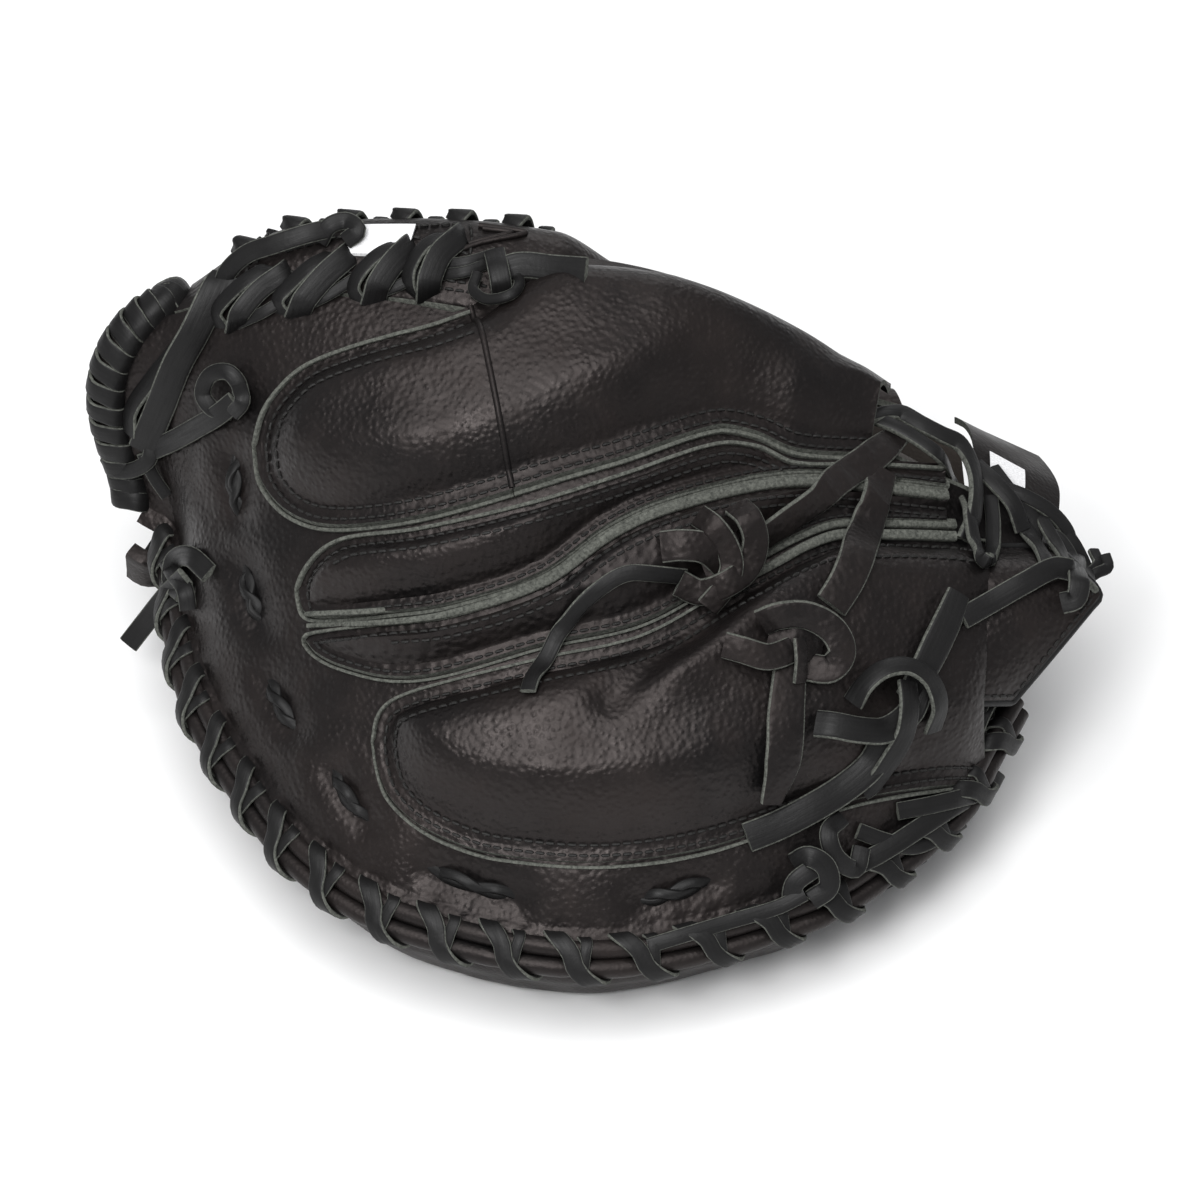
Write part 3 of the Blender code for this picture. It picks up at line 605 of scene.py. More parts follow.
def lace_piece(shape, name, body, replaces=(), grain=None):
    return shape.finish(name, body, [grain or LACE, SUEDE, RAW], replaces, "lace_black")


def tube(shape, centres, radius, sides=16):
    """Round cord through the centres; the radius is one value or one for each."""
    centres = np.asarray(centres, float)
    ahead = headings(centres)
    side = unit(np.cross(ahead, np.array([0.13, 0.2, 1.0])))
    up = np.cross(side, ahead)
    radius = np.broadcast_to(radius, (len(centres),))
    angles = np.linspace(0, 2 * math.pi, sides, endpoint=False)
    rings = centres[:, None] + radius[:, None, None] * (
        side[:, None] * np.cos(angles)[None, :, None] + up[:, None] * np.sin(angles)[None, :, None])
    faces = [tuple(range(sides - 1, -1, -1))]
    for i in range(len(centres) - 1):
        for k in range(sides):
            a, b = i * sides + k, i * sides + (k + 1) % sides
            faces.append((a, b, b + sides, a + sides))
    faces.append(tuple((len(centres) - 1) * sides + k for k in range(sides)))
    return shape.add(rings, faces, [0] * len(faces))


STITCH_PITCH, STITCH_LENGTH, STITCH_THICK = 3.2, 2.5, 0.5
STITCH_AT = np.array([0.0, 0.12, 0.5, 0.88, 1.0])
STITCH_RISE = np.array([-0.45, 0.12, 0.3, 0.12, -0.45]) * STITCH_THICK * 1.4
STITCH_RADIUS = np.array([0.5, 0.9, 1.0, 0.9, 0.5]) * STITCH_THICK


def stitches(shape, points, normals):
    """Row of short threads that sink at both ends, along a line on the leather."""
    points, normals = np.asarray(points, float), np.asarray(normals, float)
    walked = np.concatenate([[0], np.cumsum(np.linalg.norm(np.diff(points, axis=0), axis=1))])
    for start in np.arange(0.5, walked[-1] - STITCH_LENGTH, STITCH_PITCH):
        spots = start + STITCH_LENGTH * STITCH_AT
        centres = np.stack([np.interp(spots, walked, points[:, k]) for k in range(3)], -1)
        ups = unit(np.stack([np.interp(spots, walked, normals[:, k]) for k in range(3)], -1))
        tube(shape, centres + ups * STITCH_RISE[:, None], STITCH_RADIUS, 6)
    return shape


# ---- the back, as the camera sees it ------------------------------------------------------

VIEW = np.array([0.0, LEAN, -LEAN])
VIEW_FROM = 300.0


class Ground:
    """Everything that the laces on the back lie on, felt for along the view."""

    def __init__(self):
        points, faces, count = [], [], 0
        for some, quads in SURFACES:
            points.append(some)
            faces.extend(tuple(i + count for i in quad) for quad in quads)
            count += len(some)
        self.tree = BVHTree.FromPolygons(np.concatenate(points).tolist(), faces)

    def feel(self, spot):
        """The place and normal of what is seen at the drawn spot."""
        x, v = spot
        middle = (v / LEAN + LEAN_FOOT) / 2
        start = np.array([x, middle, middle]) - ORIGIN - VIEW * VIEW_FROM
        hit, normal = self.tree.ray_cast(Vector(start), Vector(VIEW))[:2]
        if hit is None:
            u, t = chart(np.array([spot]))
            return place(u, t, 0.0)[0], outward(u, t)[0]
        normal = np.array(normal)
        if normal @ VIEW > 0:
            normal = -normal
        return np.array(hit), normal

    def lay(self, route, lift=0.0, pitch=1.5, reach=0.0, ease=2):
        """Places and normals along the drawn route, lift above what it lies on."""
        spots = along(np.asarray(route, float)[:, :2], pitch)
        felt = [self.feel(spot) for spot in spots]
        places = np.array([hit for hit, _ in felt])
        normals = np.array([normal for _, normal in felt])
        for _ in range(4):
            normals[1:-1] = unit(normals[:-2] + normals[1:-1] + normals[2:])
        toward = (places * -VIEW).sum(-1)
        if reach > 0:
            sideways = headings(np.column_stack([spots, np.zeros(len(spots))]))[:, :2]
            sideways = np.column_stack([-sideways[:, 1], sideways[:, 0]])
            for sign in (-1, 1):
                beside = np.array([self.feel(spot)[0] for spot in spots + sideways * sign * reach])
                toward = np.maximum(toward, (beside * -VIEW).sum(-1) - 0.4 * reach)
        held = toward.copy()
        for _ in range(ease):
            eased = held.copy()
            eased[1:-1] = (held[:-2] + held[1:-1] + held[2:]) / 3
            held = np.maximum(eased, toward)
        places = places - VIEW * (held - (places * -VIEW).sum(-1))[:, None]
        lifts = spread(np.atleast_1d(lift), len(places)) if np.ndim(lift) else np.full(len(places), lift)
        return places + normals * lifts[:, None], normals


# ---- halves ------------------------------------------------------------------------------

PAD_STITCHES = [((-110, 43), (-109, 26)), ((-107, 10), (-102, -6)), ((-99, -24), (-91, -38)),
                ((-79, -51), (-69, -65)), ((-50, -79), (-25, -87)), ((12, -88), (32, -82))]
FINGER_TURNS, THUMB_TURNS = 20, 13
FINGER_RIM, THUMB_RIM = (0.03, 1.04), (0.05, 0.95)
THUMB_STITCHES = (0.14, 0.19)
THUMB_STITCH_T = (0.70, 0.84)
FLANGE_OUTS = (5.6, 3.6, 1.8)      # the back's edge runs out under the rim rolls
FLANGE_TOP, FLANGE_UNDER = -0.6, 1.4


def back_panel(name, body, side, grid, lift, node, lies_under):
    """Back of a half, raised by lift, and the flange of its rim edge."""
    edge = rim_frame(grid[0][:, 0], side)
    flanges = [np.stack([from_frame(edge, out, down) for out in FLANGE_OUTS], 1)
               for down in (FLANGE_TOP, FLANGE_UNDER)]
    top = np.concatenate([flanges[0], place(*grid, -lift + 0.2)], 1)
    under = np.concatenate([flanges[1], place(*grid, -np.minimum(lift, 0.0) + 0.6 + PANEL)], 1)
    leather_sheet(name, body, top, under, [node], lies_under=lies_under)


def finger_back():
    """Back panel of the finger half, dimpled at the pad's stitches and the rim's holes."""
    us = np.linspace(0.0, 0.995, 190)
    inward = np.linspace(0.0, 1.0, 70) ** 1.25
    u = np.repeat(us[:, None], len(inward), 1)
    t = -1.0 + (finger_edge(u) + 1.0) * inward[None]
    flat = place(u, t, 0.0)
    drawn = drawing(u, t)
    low = np.linalg.norm(flat - flat[:, :1], axis=-1)
    lift = 2.2 * np.sin(np.clip(low / 34.0, 0, 1) * math.pi) ** 1.2
    for start, end in PAD_STITCHES:
        gap = line_gap(drawn, np.array([start, end]))
        lift -= 3.4 * np.exp(-(gap / 5.5) ** 2)
    lift += 0.9 * rough(flat, 34.0) + 0.15 * rough(flat, 9.0, 5.0)
    wraps = (us - FINGER_RIM[0]) / (FINGER_RIM[1] - FINGER_RIM[0]) * FINGER_TURNS
    lift -= (0.8 * np.cos(2 * math.pi * wraps) ** 8)[:, None] * np.exp(-(low / 4.0) ** 2)
    back_panel("finger_back_leather", FINGER, -1, (u, t), lift, "finger_back_panel", True)


def thumb_back():
    """Back panel of the thumb half, dimpled at its two stitches."""
    us = np.linspace(0.03, 0.95, 120)
    inward = np.linspace(0.0, 1.0, 40)
    u = np.repeat(us[:, None], len(inward), 1)
    t = 1.0 + (thumb_edge(u) - 1.0) * inward[None]
    flat = place(u, t, 0.0)
    low = np.linalg.norm(flat - flat[:, :1], axis=-1)
    lift = 1.2 * np.sin(np.clip(low / 30.0, 0, 1) * math.pi) ** 1.2
    for at in THUMB_STITCHES:
        start, end = place(at, THUMB_STITCH_T[0], 0.0), place(at + 0.01, THUMB_STITCH_T[1], 0.0)
        lift -= 2.4 * np.exp(-(line_gap(flat, np.stack([start, end])) / 5.0) ** 2)
    lift += 0.7 * rough(flat, 30.0, 2.0) + 0.3 * rough(flat, 9.0, 8.0)
    back_panel("thumb_back_leather", THUMB, 1, (u, t), lift, "thumb_back_panel", False)


PALM_OUTS = (13.5, 17.5, 20.0, 23.5, 26.0)       # out past the panel's edge
PALM_SHARES = (0.24, 0.38, 0.6, 0.8)             # share of the wall at each but the first


def palm(name, body, side, us, edge, node):
    """Palm leather from under the rim rolls, down the outer wall and into the pocket."""
    start = WRAP_UP + 2.8
    frames, deep = rim_frame(us, side), wall(us, np.full(len(us), float(side)))
    downs = [np.full(len(us), start)] + [share * deep for share in PALM_SHARES]
    rows = [from_frame(frames, out, down) for out, down in zip(PALM_OUTS, downs)]
    for share in np.linspace(0, 1, 14):
        t = side + (edge(us) - side) * share
        rows.append(place(us, t, wall(us, t)))
    profile = np.stack(rows, 1)
    fine = np.linspace(0, 1, 70)
    top = np.stack([spline(row, fine) for row in profile])
    low = np.linalg.norm(top - top[:, :1], axis=-1)
    run = unit(np.gradient(top, axis=0))
    across = unit(np.gradient(top, axis=1))
    normal = unit(np.cross(across, run)) * side
    if (normal[:, 8] * frames[1]).sum() < 0:
        normal = -normal
    lift = 0.8 * rough(top, 40.0, 3.0) + 0.3 * rough(top, 10.0, 4.0)
    lift *= smooth(low / 12.0) * smooth(top[..., 2] / 3.0)
    top = top + normal * lift[..., None]
    top[..., 2] = np.maximum(top[..., 2], 0.0)
    under = top - normal * PANEL
    under[..., 2] = np.maximum(under[..., 2], PANEL * (top[..., 2] < PANEL))
    leather_sheet(name, body, top, under, [node], SMOOTH, lies_under=False)


def pocket():
    """Leather over the crease between the two halves; it rides on neither half."""
    us = np.linspace(0.43, 0.985, 70)
    share = np.linspace(0, 1, 50)
    u = np.repeat(us[:, None], len(share), 1)
    start, stop = finger_edge(u) - 0.03, thumb_edge(u) + 0.04
    t = start + (stop - start) * share[None]
    deep = wall(u, t)
    lift = 0.6 * rough(place(u, t, deep), 25.0, 6.0) + 0.4
    under = place(u, t, deep - PANEL + 0.5)
    top = place(u, t, deep + lift)
    shape = slab(Shape(), top, under)
    piece = shape.finish("pocket_crease_leather", None, [SMOOTH, SUEDE, RAW], ["pocket_leather"], ride=False)
    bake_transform(piece)


HOLLOW_TOP, HOLLOW_STOP = 0.4, 0.8       # how far a hollow's wall stays from the two skins
HOLLOW_SHIFT, HOLLOW_THICK = 0.012, 0.014      # in t
MM_PER_T = 110.0


def hollow_wall(name, body, edge, us, sign):
    """Leather down the wall beside a half's edge; sign is the side of the hollow."""
    share = np.linspace(0, 1, 16)
    u = np.repeat(us[:, None], len(share), 1)
    t = np.repeat(edge(us)[:, None] + sign * HOLLOW_SHIFT, len(share), 1)
    m = HOLLOW_TOP + (wall(u, t) - HOLLOW_STOP - HOLLOW_TOP) * share[None]
    bulge = 1.4 * np.sin(share * math.pi)[None] + 0.5 * rough(place(u, t, m), 20.0)
    top = place(u, t + sign * bulge / MM_PER_T, m)
    under = place(u, t - sign * HOLLOW_THICK, m)
    leather_sheet(name, body, top, under, (), LINING, lies_under=False)


def hollow_walls():
    """Leather over the sides and the heel of the hand's hollow, so no felt shows."""
    hollow_wall("finger_hollow_wall", FINGER, finger_edge, np.linspace(0.40, 0.99, 60), 1)
    hollow_wall("thumb_hollow_wall", THUMB, thumb_edge, np.linspace(0.05, 0.95, 80), -1)
    heel_wall("finger_heel_wall", FINGER, np.linspace(-0.97, -0.17, 60), 0.995)
    heel_wall("thumb_heel_wall", THUMB, np.linspace(0.99, 0.64, 30), 0.945)
    heel_wall("palm_heel_wall", FINGER, np.linspace(-0.18, 0.40, 30), 0.985, 20.5)


def heel_wall(name, body, ts, at, start=0.6):
    """Leather that closes a half at the heel, from the depth start to the pocket."""
    share = np.linspace(0, 1, 14)
    t = np.repeat(ts[:, None], len(share), 1)
    u = np.full(t.shape, at)
    m = start + (wall(u, t) - 0.6 - start) * share[None]
    swell = 0.006 * np.sin(share * math.pi)[None]
    top = place(u + swell, t, m)
    under = place(u + swell - 0.012, t, m)
    leather_sheet(name, body, top, under, (), SMOOTH, lies_under=False)


# ---- rims --------------------------------------------------------------------------------

POINTS_PER_TURN = 26


def wound(shape, edges, turns, out, down, half_width, half_height, width, thick, lean, start=0.0):
    """Lace wound round a core: edges(s) gives the core's frame at 0 <= s <= 1."""
    count = turns * POINTS_PER_TURN + 1
    angle = np.linspace(0, 2 * math.pi * turns, count)
    share = (start + angle / (2 * math.pi) - lean * np.cos(angle)) / turns
    frames = edges(np.clip(share, 0, 1))
    across = np.sign(np.cos(angle)) * np.abs(np.cos(angle)) ** 0.62
    over = -np.sign(np.sin(angle)) * np.abs(np.sin(angle)) ** 0.72
    a, b = out - across * half_width, down + over * half_height
    centres = from_frame(frames, a, b)
    ups = frames[1] * (-across * half_height)[:, None] + frames[2] * (over * half_width)[:, None]
    for _ in range(2):
        ups[1:-1] = unit(ups[:-2] + ups[1:-1] + ups[2:])
    wobble = np.array([noise.noise(Vector((i * 0.07, half_width, 3.0))) for i in range(count)])
    return lace(shape, centres, unit(ups), width * (1 + 0.15 * wobble), thick)


def rim(prefix, body, side, span, turns):
    """Two parallel rolls along a rim, pinched by the lace that crosses itself round both."""
    def edges(share):
        return rim_frame(span[0] + (span[1] - span[0]) * share, side)
    spots = np.linspace(0, 1, 18 * turns)
    pinch = 0.45 * np.cos(math.pi * (spots * turns - 0.3)) ** 8
    for label, out in (("inner", -ROLL_PITCH), ("outer", ROLL_PITCH)):
        centres = from_frame(edges(spots), RIM_OUT + out, 0.0)
        shape = tube(Shape(), centres, ROLL - pinch, 20)
        shape.finish(f"{prefix}_welt_{label}", body, [SMOOTH], [f"{prefix}_rim_roll_{label}"])
    shape = wound(Shape(), edges, turns, RIM_OUT, 0.0, WRAP_OUT, WRAP_UP, LACE_WIDTH * 0.86, LACE_THICK,
                  lean=0.1)
    wound(shape, edges, turns, RIM_OUT, 0.0, WRAP_OUT - 0.9, WRAP_UP - 1.0, LACE_WIDTH * 0.6,
          LACE_THICK * 0.8, lean=-0.22, start=0.16)
    lace_piece(shape, f"{prefix}_whip_lace", body, [f"{prefix}_rim_lace"])


def web_binding():
    """Roll along the web's top edge and the lace wound round it."""
    def edges(share):
        return web_frame(-0.98 + 1.88 * share)
    spots = np.linspace(0, 1, 180)
    shape = tube(Shape(), from_frame(edges(spots), BINDING_OUT, BINDING_DOWN), BINDING_ROLL, 18)
    shape.finish("web_edge_roll", FINGER, [SMOOTH], ["web_binding_roll"])
    shape = wound(Shape(), edges, BINDING_TURNS, BINDING_OUT, BINDING_DOWN, BINDING_WRAP, BINDING_WRAP,
                  LACE_WIDTH, LACE_THICK, lean=0.12)
    lace_piece(shape, "web_edge_lace", FINGER, ["web_binding_lace"])


# ---- stalls ------------------------------------------------------------------------------

SEAM = 0.9           # gap between a cover and the back
HEM_ROWS = (3.0, 6.2)     # distances of the two rows of sewing from a cover's edge
HEM_MARGIN, NARROW_MARGIN = 5.4, 3.4     # flat border of a wide cover and of a narrow one
HEM_DIP, HEM_DIP_WIDTH = 0.45, 0.8
LOWEST_LIFT = -0.3
STALLS = {
    "index": dict(node="index_stall", rise=11.0, reach=15.0,
                  lower=[(-102.5, 44), (-101, 35), (-95, 27), (-87, 22.5), (-78, 21), (-66, 21.6),
                         (-53, 23.6), (-39, 27), (-25.5, 31)],
                  upper=[(-102.5, 47), (-100, 56), (-95, 63), (-88, 69), (-76, 74), (-62, 78), (-50, 81),
                         (-38.5, 85)]),
    "middle": dict(node="middle_stall", rise=9.0, reach=9.0,
                   lower=[(-89, 0), (-87, -5), (-80, -6), (-62, -4.5), (-44, -2), (-17, 7), (1, 20),
                          (16, 27.5), (43, 35), (61, 37), (82, 35.5), (104, 33)],
                   upper=[(-89, 4), (-86, 10), (-81, 15), (-74, 18), (-53, 20.5), (-20, 28), (7, 36.5),
                          (34, 45.5), (46, 45), (58, 40), (80, 40), (104, 39)]),
    "ring": dict(node="ring_stall", rise=8.0, reach=7.0,
                 lower=[(-87, -13), (-84, -16.5), (-77, -20), (-62, -23.5), (-47, -22.5), (-17, -14),
                        (13, -7), (43, 10), (67, 21.5), (84, 22.5), (104, 22)],
                 upper=[(-87, -11), (-80, -9.5), (-62, -7.5), (-44, -5.5), (-17, 3.5), (1, 16.5), (16, 24),
                        (43, 31.5), (61, 33.5), (82, 32), (104, 30)]),
    "pinky": dict(node="pinky_stall", rise=13.0, reach=17.0,
                  lower=[(-66, -43), (-65, -50), (-62, -58), (-54, -66), (-42, -72), (-29, -75.5), (1, -77.5),
                         (31, -73.5), (61, -64), (80, -59), (104, -56), (116, -57)],
                  upper=[(-66, -41), (-64.5, -34), (-60, -29.5), (-47, -25), (-17, -17.5), (13, -10.5),
                         (43, 6.5), (67, 18), (84, 19), (104, 18.5), (117, 17)]),
}
CREASES = {           # (points, width, depth); a negative depth is a ridge
    "index": [([(-60, 78), (-50, 60), (-40, 45)], 9.0, 0.7), ([(-95, 40), (-70, 44), (-48, 40)], 8.0, -0.8)],
    "hood": [([(10, 47), (40, 62), (70, 62)], 8.0, 2.0), ([(20, 80), (50, 74), (78, 66)], 9.0, -1.8),
             ([(-20, 60), (10, 58), (34, 54)], 7.0, -0.8)],
    "middle": [([(-14, 33), (18, 31), (50, 39)], 4.0, 2.2)],
    "ring": [([(-70, -14), (-40, -12), (-10, -4)], 4.0, -0.6)],
    "pinky": [([(72, 16), (50, 6), (28, -14), (4, -34)], 6.0, 4.0),
              ([(84, 18), (62, 2), (40, -16), (24, -28)], 6.5, -2.4),
              ([(-40, -56), (-10, -58), (30, -52)], 7.0, -0.9),
              ([(96, -48), (84, -40), (66, -46)], 5.0, 1.6)],
}


def crowned(name, node, low, high, rise, reach, creases, drawn=True, grain=None, body=FINGER):
    """Cover that is sewn down along low and high, round its tip, and open at the wrist."""
    share = np.linspace(0, 1, 150)
    across = 0.5 - 0.5 * np.cos(np.linspace(0, math.pi, 51))
    first, last = spline(low, share), spline(high, share)
    if drawn:
        first, last = np.stack(chart(first), -1), np.stack(chart(last), -1)
    spots = first[:, None] + (last - first)[:, None] * across[None, :, None]
    u, t = spots[..., 0], spots[..., 1]
    skin = place(u, t, 0.0)
    outline = np.concatenate([skin[::-1, 0], skin[:, -1]])
    gap = line_gap(skin, outline[::3])
    margin = HEM_MARGIN if reach > 12 else NARROW_MARGIN
    lift = rise * np.sin(np.clip((gap - margin) / reach, 0, 1) * math.pi / 2) ** 0.85
    for row in HEM_ROWS:
        lift -= HEM_DIP * np.exp(-((gap - row) / HEM_DIP_WIDTH) ** 2) * (reach > 8)
    drawn_spots = drawing(u, t)
    for points, width, depth in creases:
        near = line_gap(drawn_spots, along(np.array(points, float), 4.0))
        lift -= depth * np.exp(-(near / width) ** 2) * smooth((gap - 3.0) / 8.0)
    lift += (0.7 * rough(skin, 22.0, rise) + 0.12 * rough(skin, 7.0, rise)) * smooth((gap - 2.0) / 6.0)
    lift += 0.3 * rough(skin, 3.5, rise) * np.exp(-((gap - 5.0) / 3.0) ** 2)
    lift = np.maximum(lift, LOWEST_LIFT)
    top = place(u, t, -SEAM - PANEL - lift)
    under = place(u, t, -SEAM - lift)
    leather_sheet(f"{name}_stall_leather", body, top, under, [node], grain)
    return top[-1]


def offset_line(points, distance):
    """A drawn line moved sideways by distance, to its left."""
    points = np.asarray(points, float)
    ahead = headings(np.column_stack([points, np.zeros(len(points))]))[:, :2]
    return points + np.column_stack([-ahead[:, 1], ahead[:, 0]]) * distance


def hem_line(low, high, inset):
    """The drawn line inset from a stall's outline: up one edge, round the tip and back."""
    outline = along(np.concatenate([np.array(low, float)[::-1], np.array(high, float)]), 2.0)
    return offset_line(outline, -inset)


def finger_stalls():
    """The four stalls; the pinky stall's open end is where the wrist flap carries on."""
    ends = {}
    for name, made in STALLS.items():
        ends[name] = crowned(name, made["node"], made["lower"], made["upper"], made["rise"], made["reach"],
                             CREASES[name], grain=PEBBLED if name == "ring" else None)
    seam = along(ends["index"][2:], 1.2) - VIEW * 0.2
    tube(Shape(), seam, 0.95, 12).finish("index_cross_seam", FINGER, [SMOOTH])
    return ends["pinky"]


HOOD_LOWER = [(-25.3, 31.2), (-10, 36), (7, 41), (34, 50), (46, 48.5), (58, 43.5), (80, 42)]
HOOD_HIGH_START = (-38.3, 85)
HOOD_UPPER = [(0.42, 0.02), (0.53, 0.1), (0.63, 0.14), (0.72, 0.15), (0.82, 0.14)]


def hood():
    """Flared cover over the index finger, free along its wrist edge."""
    share = np.linspace(0, 1, 130)
    across = 0.5 - 0.5 * np.cos(np.linspace(0, math.pi, 61))
    low_u, low_t = chart(spline(HOOD_LOWER, share))
    start_u, start_t = chart(np.array([HOOD_HIGH_START]))
    high = spline([(start_u[0], start_t[0])] + HOOD_UPPER, share)
    u = low_u[:, None] + (high[:, :1] - low_u[:, None]) * across[None]
    t = low_t[:, None] + (high[:, 1:] - low_t[:, None]) * across[None]
    skin = place(u, t, 0.0)
    gap_low, gap_high = line_gap(skin, skin[::3, 0]), line_gap(skin, skin[::3, -1])
    gap = np.minimum(gap_low, gap_high)
    grown = smooth(share * 2.0)[:, None]
    climb = np.clip((gap - HEM_MARGIN) / (15.0 + 3.0 * grown), 0, 1)
    lift = (11.0 + 2.5 * grown) * np.sin(climb * math.pi / 2) ** 0.85
    drawn = drawing(u, t)
    for points, width, depth in CREASES["hood"]:
        near = line_gap(drawn, along(np.array(points, float), 4.0))
        lift -= depth * np.exp(-(near / width) ** 2) * smooth(share * 6.0)[:, None]
    for row in HEM_ROWS:
        lift -= HEM_DIP * np.exp(-((gap_low - row) / HEM_DIP_WIDTH) ** 2)
    lift += (0.7 * rough(skin, 22.0, 11.0) + 0.12 * rough(skin, 7.0, 11.0)) * smooth((gap - 2.0) / 6.0)
    lift = np.maximum(lift, LOWEST_LIFT)
    top = place(u, t, -SEAM - PANEL - lift)
    under = place(u, t, -SEAM - lift)
    leather_sheet("index_hood_leather", FINGER, top, under, ["index_hood"])


EDGE_LINES = (
    ("index_cut_edge", "index", 1.3, 2.0), ("middle_cut_edge", "middle", 1.3, 2.0),
    ("ring_cut_edge", "ring", 1.0, 1.7), ("pinky_cut_edge", "pinky", 1.0, 1.7))


def standing_edges(ground):
    """Cut edges of the hide: sewn side by side between the stalls, and round the stalls' hems."""
    spacing, height, width = 1.75, 3.0, 3.2
    seams = [("middle_ring", [(-86, -5.6)] + STALLS["middle"]["lower"][3:], 0.0),
             ("ring_pinky", [(30, 2.0), (43, 9.4), (67, 21.2), (84, 22.0), (106, 21.6)], -0.6)]
    for name, line, shift in seams:
        shape = Shape()
        for sign in (-1, 1):
            route = offset_line(along(np.array(line, float), 2.0), sign * spacing + shift - 0.4)
            places, normals = ground.lay(route, 0.6, 1.2, ease=6)
            wave = 0.35 * rough(places, 8.0, sign)
            narrow = spread([0.5, 0.8, 1.0, 1.0, 1.0], len(places))
            lace(shape, places + normals * wave[:, None], normals, width * narrow, height)
        shape.finish(f"{name}_cut_edges", FINGER, [RAW, RAW, RAW])
    for name, stall, width, height in EDGE_LINES:
        made = STALLS[stall]
        outline = hem_line(made["lower"], made["upper"], -0.4)
        places, normals = ground.lay(outline, 0.5, 1.0, ease=2)
        lace(Shape(), places, normals, width, height).finish(name, FINGER, [RAW, RAW, RAW])
    outline = offset_line(along(np.array(HOOD_LOWER, float), 2.0), -0.4)
    places, normals = ground.lay(outline, 0.5, 1.0, ease=2)
    lace(Shape(), places, normals, 1.5, 2.2).finish("hood_cut_edge", FINGER, [RAW, RAW, RAW])


def sewing(ground):
    """Rows of thread along the stalls' hems."""
    shape = Shape()
    lines = []
    for name in ("index", "pinky"):
        made = STALLS[name]
        lines += [hem_line(made["lower"], made["upper"], inset) for inset in HEM_ROWS]
    for name in ("middle", "ring"):
        made = STALLS[name]
        lines.append(hem_line(made["lower"], made["upper"], 2.6))
        lines.append(offset_line(along(np.array(made["upper"], float)[2:], 2.0), -5.0))
    for inset in HEM_ROWS:
        lines.append(offset_line(along(np.array(HOOD_LOWER, float), 2.0), inset))
    for line in lines:
        places, normals = ground.lay(line, 0.1, 0.8, ease=0)
        stitches(shape, places, normals)
    shape.finish("stall_sewing", FINGER, [THREAD], slot="lace_black")


# ---- laces on the back -------------------------------------------------------------------

def strap(ground, shape, route, width, thick, lift, widths):
    """Flat lace laid over the back along drawn points, with its widths along it."""
    places, normals = ground.lay(route, lift, 1.3, width * 0.42, 6)
    return lace(shape, places, normals, spread(widths, len(places)), thick)


def free_path(points, ups, shape, width, thick=LACE_THICK, pitch=1.0):
    """Flat lace through world points in millimetres, with its upper side's directions."""
    centres = along(np.array(points, float), pitch)
    fine = along(np.column_stack([np.array(points, float), np.array(ups, float)]), pitch)
    normals = unit(np.stack([spread(fine[:, k + 3], len(centres)) for k in range(3)], -1))
    return lace(shape, centres, normals, width, thick)


def loop_over(ground, shape, spots, width, thick=TIE_THICK, ups=None):
    """Lace through drawn spots (x, v, height over what lies there); ups lean it to x and v."""
    places = np.array([ground.feel((x, v))[0] - VIEW * height for x, v, height in spots])
    facing = np.repeat(-VIEW[None], len(places), 0)
    if ups is not None:
        turns = np.array(ups, float)
        facing = unit(facing + turns @ np.array([[1.0, 0, 0], [0, LEAN, LEAN]]))
    return free_path(places, facing, shape, width, thick)


def pad_lace(ground):
    """Pad lace: its twisted stitches show on the back, with a knot at each end."""
    for number, (start, end) in enumerate(PAD_STITCHES, 1):
        start, end = np.array(start, float), np.array(end, float)
        shape = Shape()
        for sign in (-1, 1):
            route = [start + (end - start) * share for share in (-0.1, 0.1, 0.5, 0.9, 1.1)]
            places, normals = ground.lay(route, [-3.0, 0.6, 1.5, 0.6, -3.0], 0.8)
            side = np.cross(headings(places), normals)
            walk = np.linspace(0, 1, len(places))
            weave = sign * np.sin(walk * 2.5 * math.pi + number)
            bob = 0.7 * sign * np.cos(walk * 2.5 * math.pi)
            places = places + side * (1.3 * weave)[:, None] + normals * bob[:, None]
            normals = unit(normals + side * (0.7 * weave)[:, None])
            lace(shape, places, normals, LACE_WIDTH * 0.5, 2.2)
        shape.finish(f"pad_stitch_{number}", FINGER, [LACE, LACE, LACE], [f"pad_lace_stitch_{number}"],
                     "lace_black")
    shape = Shape()
    loop_over(ground, shape, [(-108.5, 58, 0.5), (-108, 64, 4), (-111.5, 68.3, 6.5), (-117, 67.5, 7),
                              (-119.6, 62, 6), (-116.5, 57.5, 5), (-111, 56.5, 4)], 5.2, 3.0)
    loop_over(ground, shape, [(-109.5, 59.5, 6.5), (-115, 55.5, 6), (-121, 52.5, 4), (-130, 48.5, 3),
                              (-137, 46, 2)], 6.6, LACE_THICK)
    loop_over(ground, shape, [(-108, 64, 5), (-107, 59.5, 7.5), (-110, 56, 5)], 5.0, 2.2)
    lace_piece(shape, "pad_knot_tip", FINGER, ["pad_lace_knot_tip"])
    shape = Shape()
    loop_over(ground, shape, [(57, -77, 2), (61, -75, 7), (66, -78, 9), (67, -84, 8), (62, -88, 5)], 6.4, 2.2)
    loop_over(ground, shape, [(56, -89, 3), (57, -83, 6), (62, -79, 7), (68, -76, 3)], 6.0, 2.2)
    loop_over(ground, shape, [(71, -64, 2), (67, -68, 6), (69, -75, 8), (75, -79, 7), (77, -73, 5)], 5.6, 2.2)
    loop_over(ground, shape, [(60, -86, 6), (52, -90, 4), (38, -94, 3), (24, -98, 3.2), (14, -101, 2.6)],
              4.6, 1.7)
    lace_piece(shape, "pad_knot_heel", FINGER, ["pad_lace_knot_heel"])


TAIL_WIDTH = 5.0
TAIL_ROUTE = [(24, 7.5), (16, 8), (8, 7.8), (1, 4.5), (-6, -1), (-11, -8), (-15, -16), (-19, -23),
              (-20.5, -27.5)]


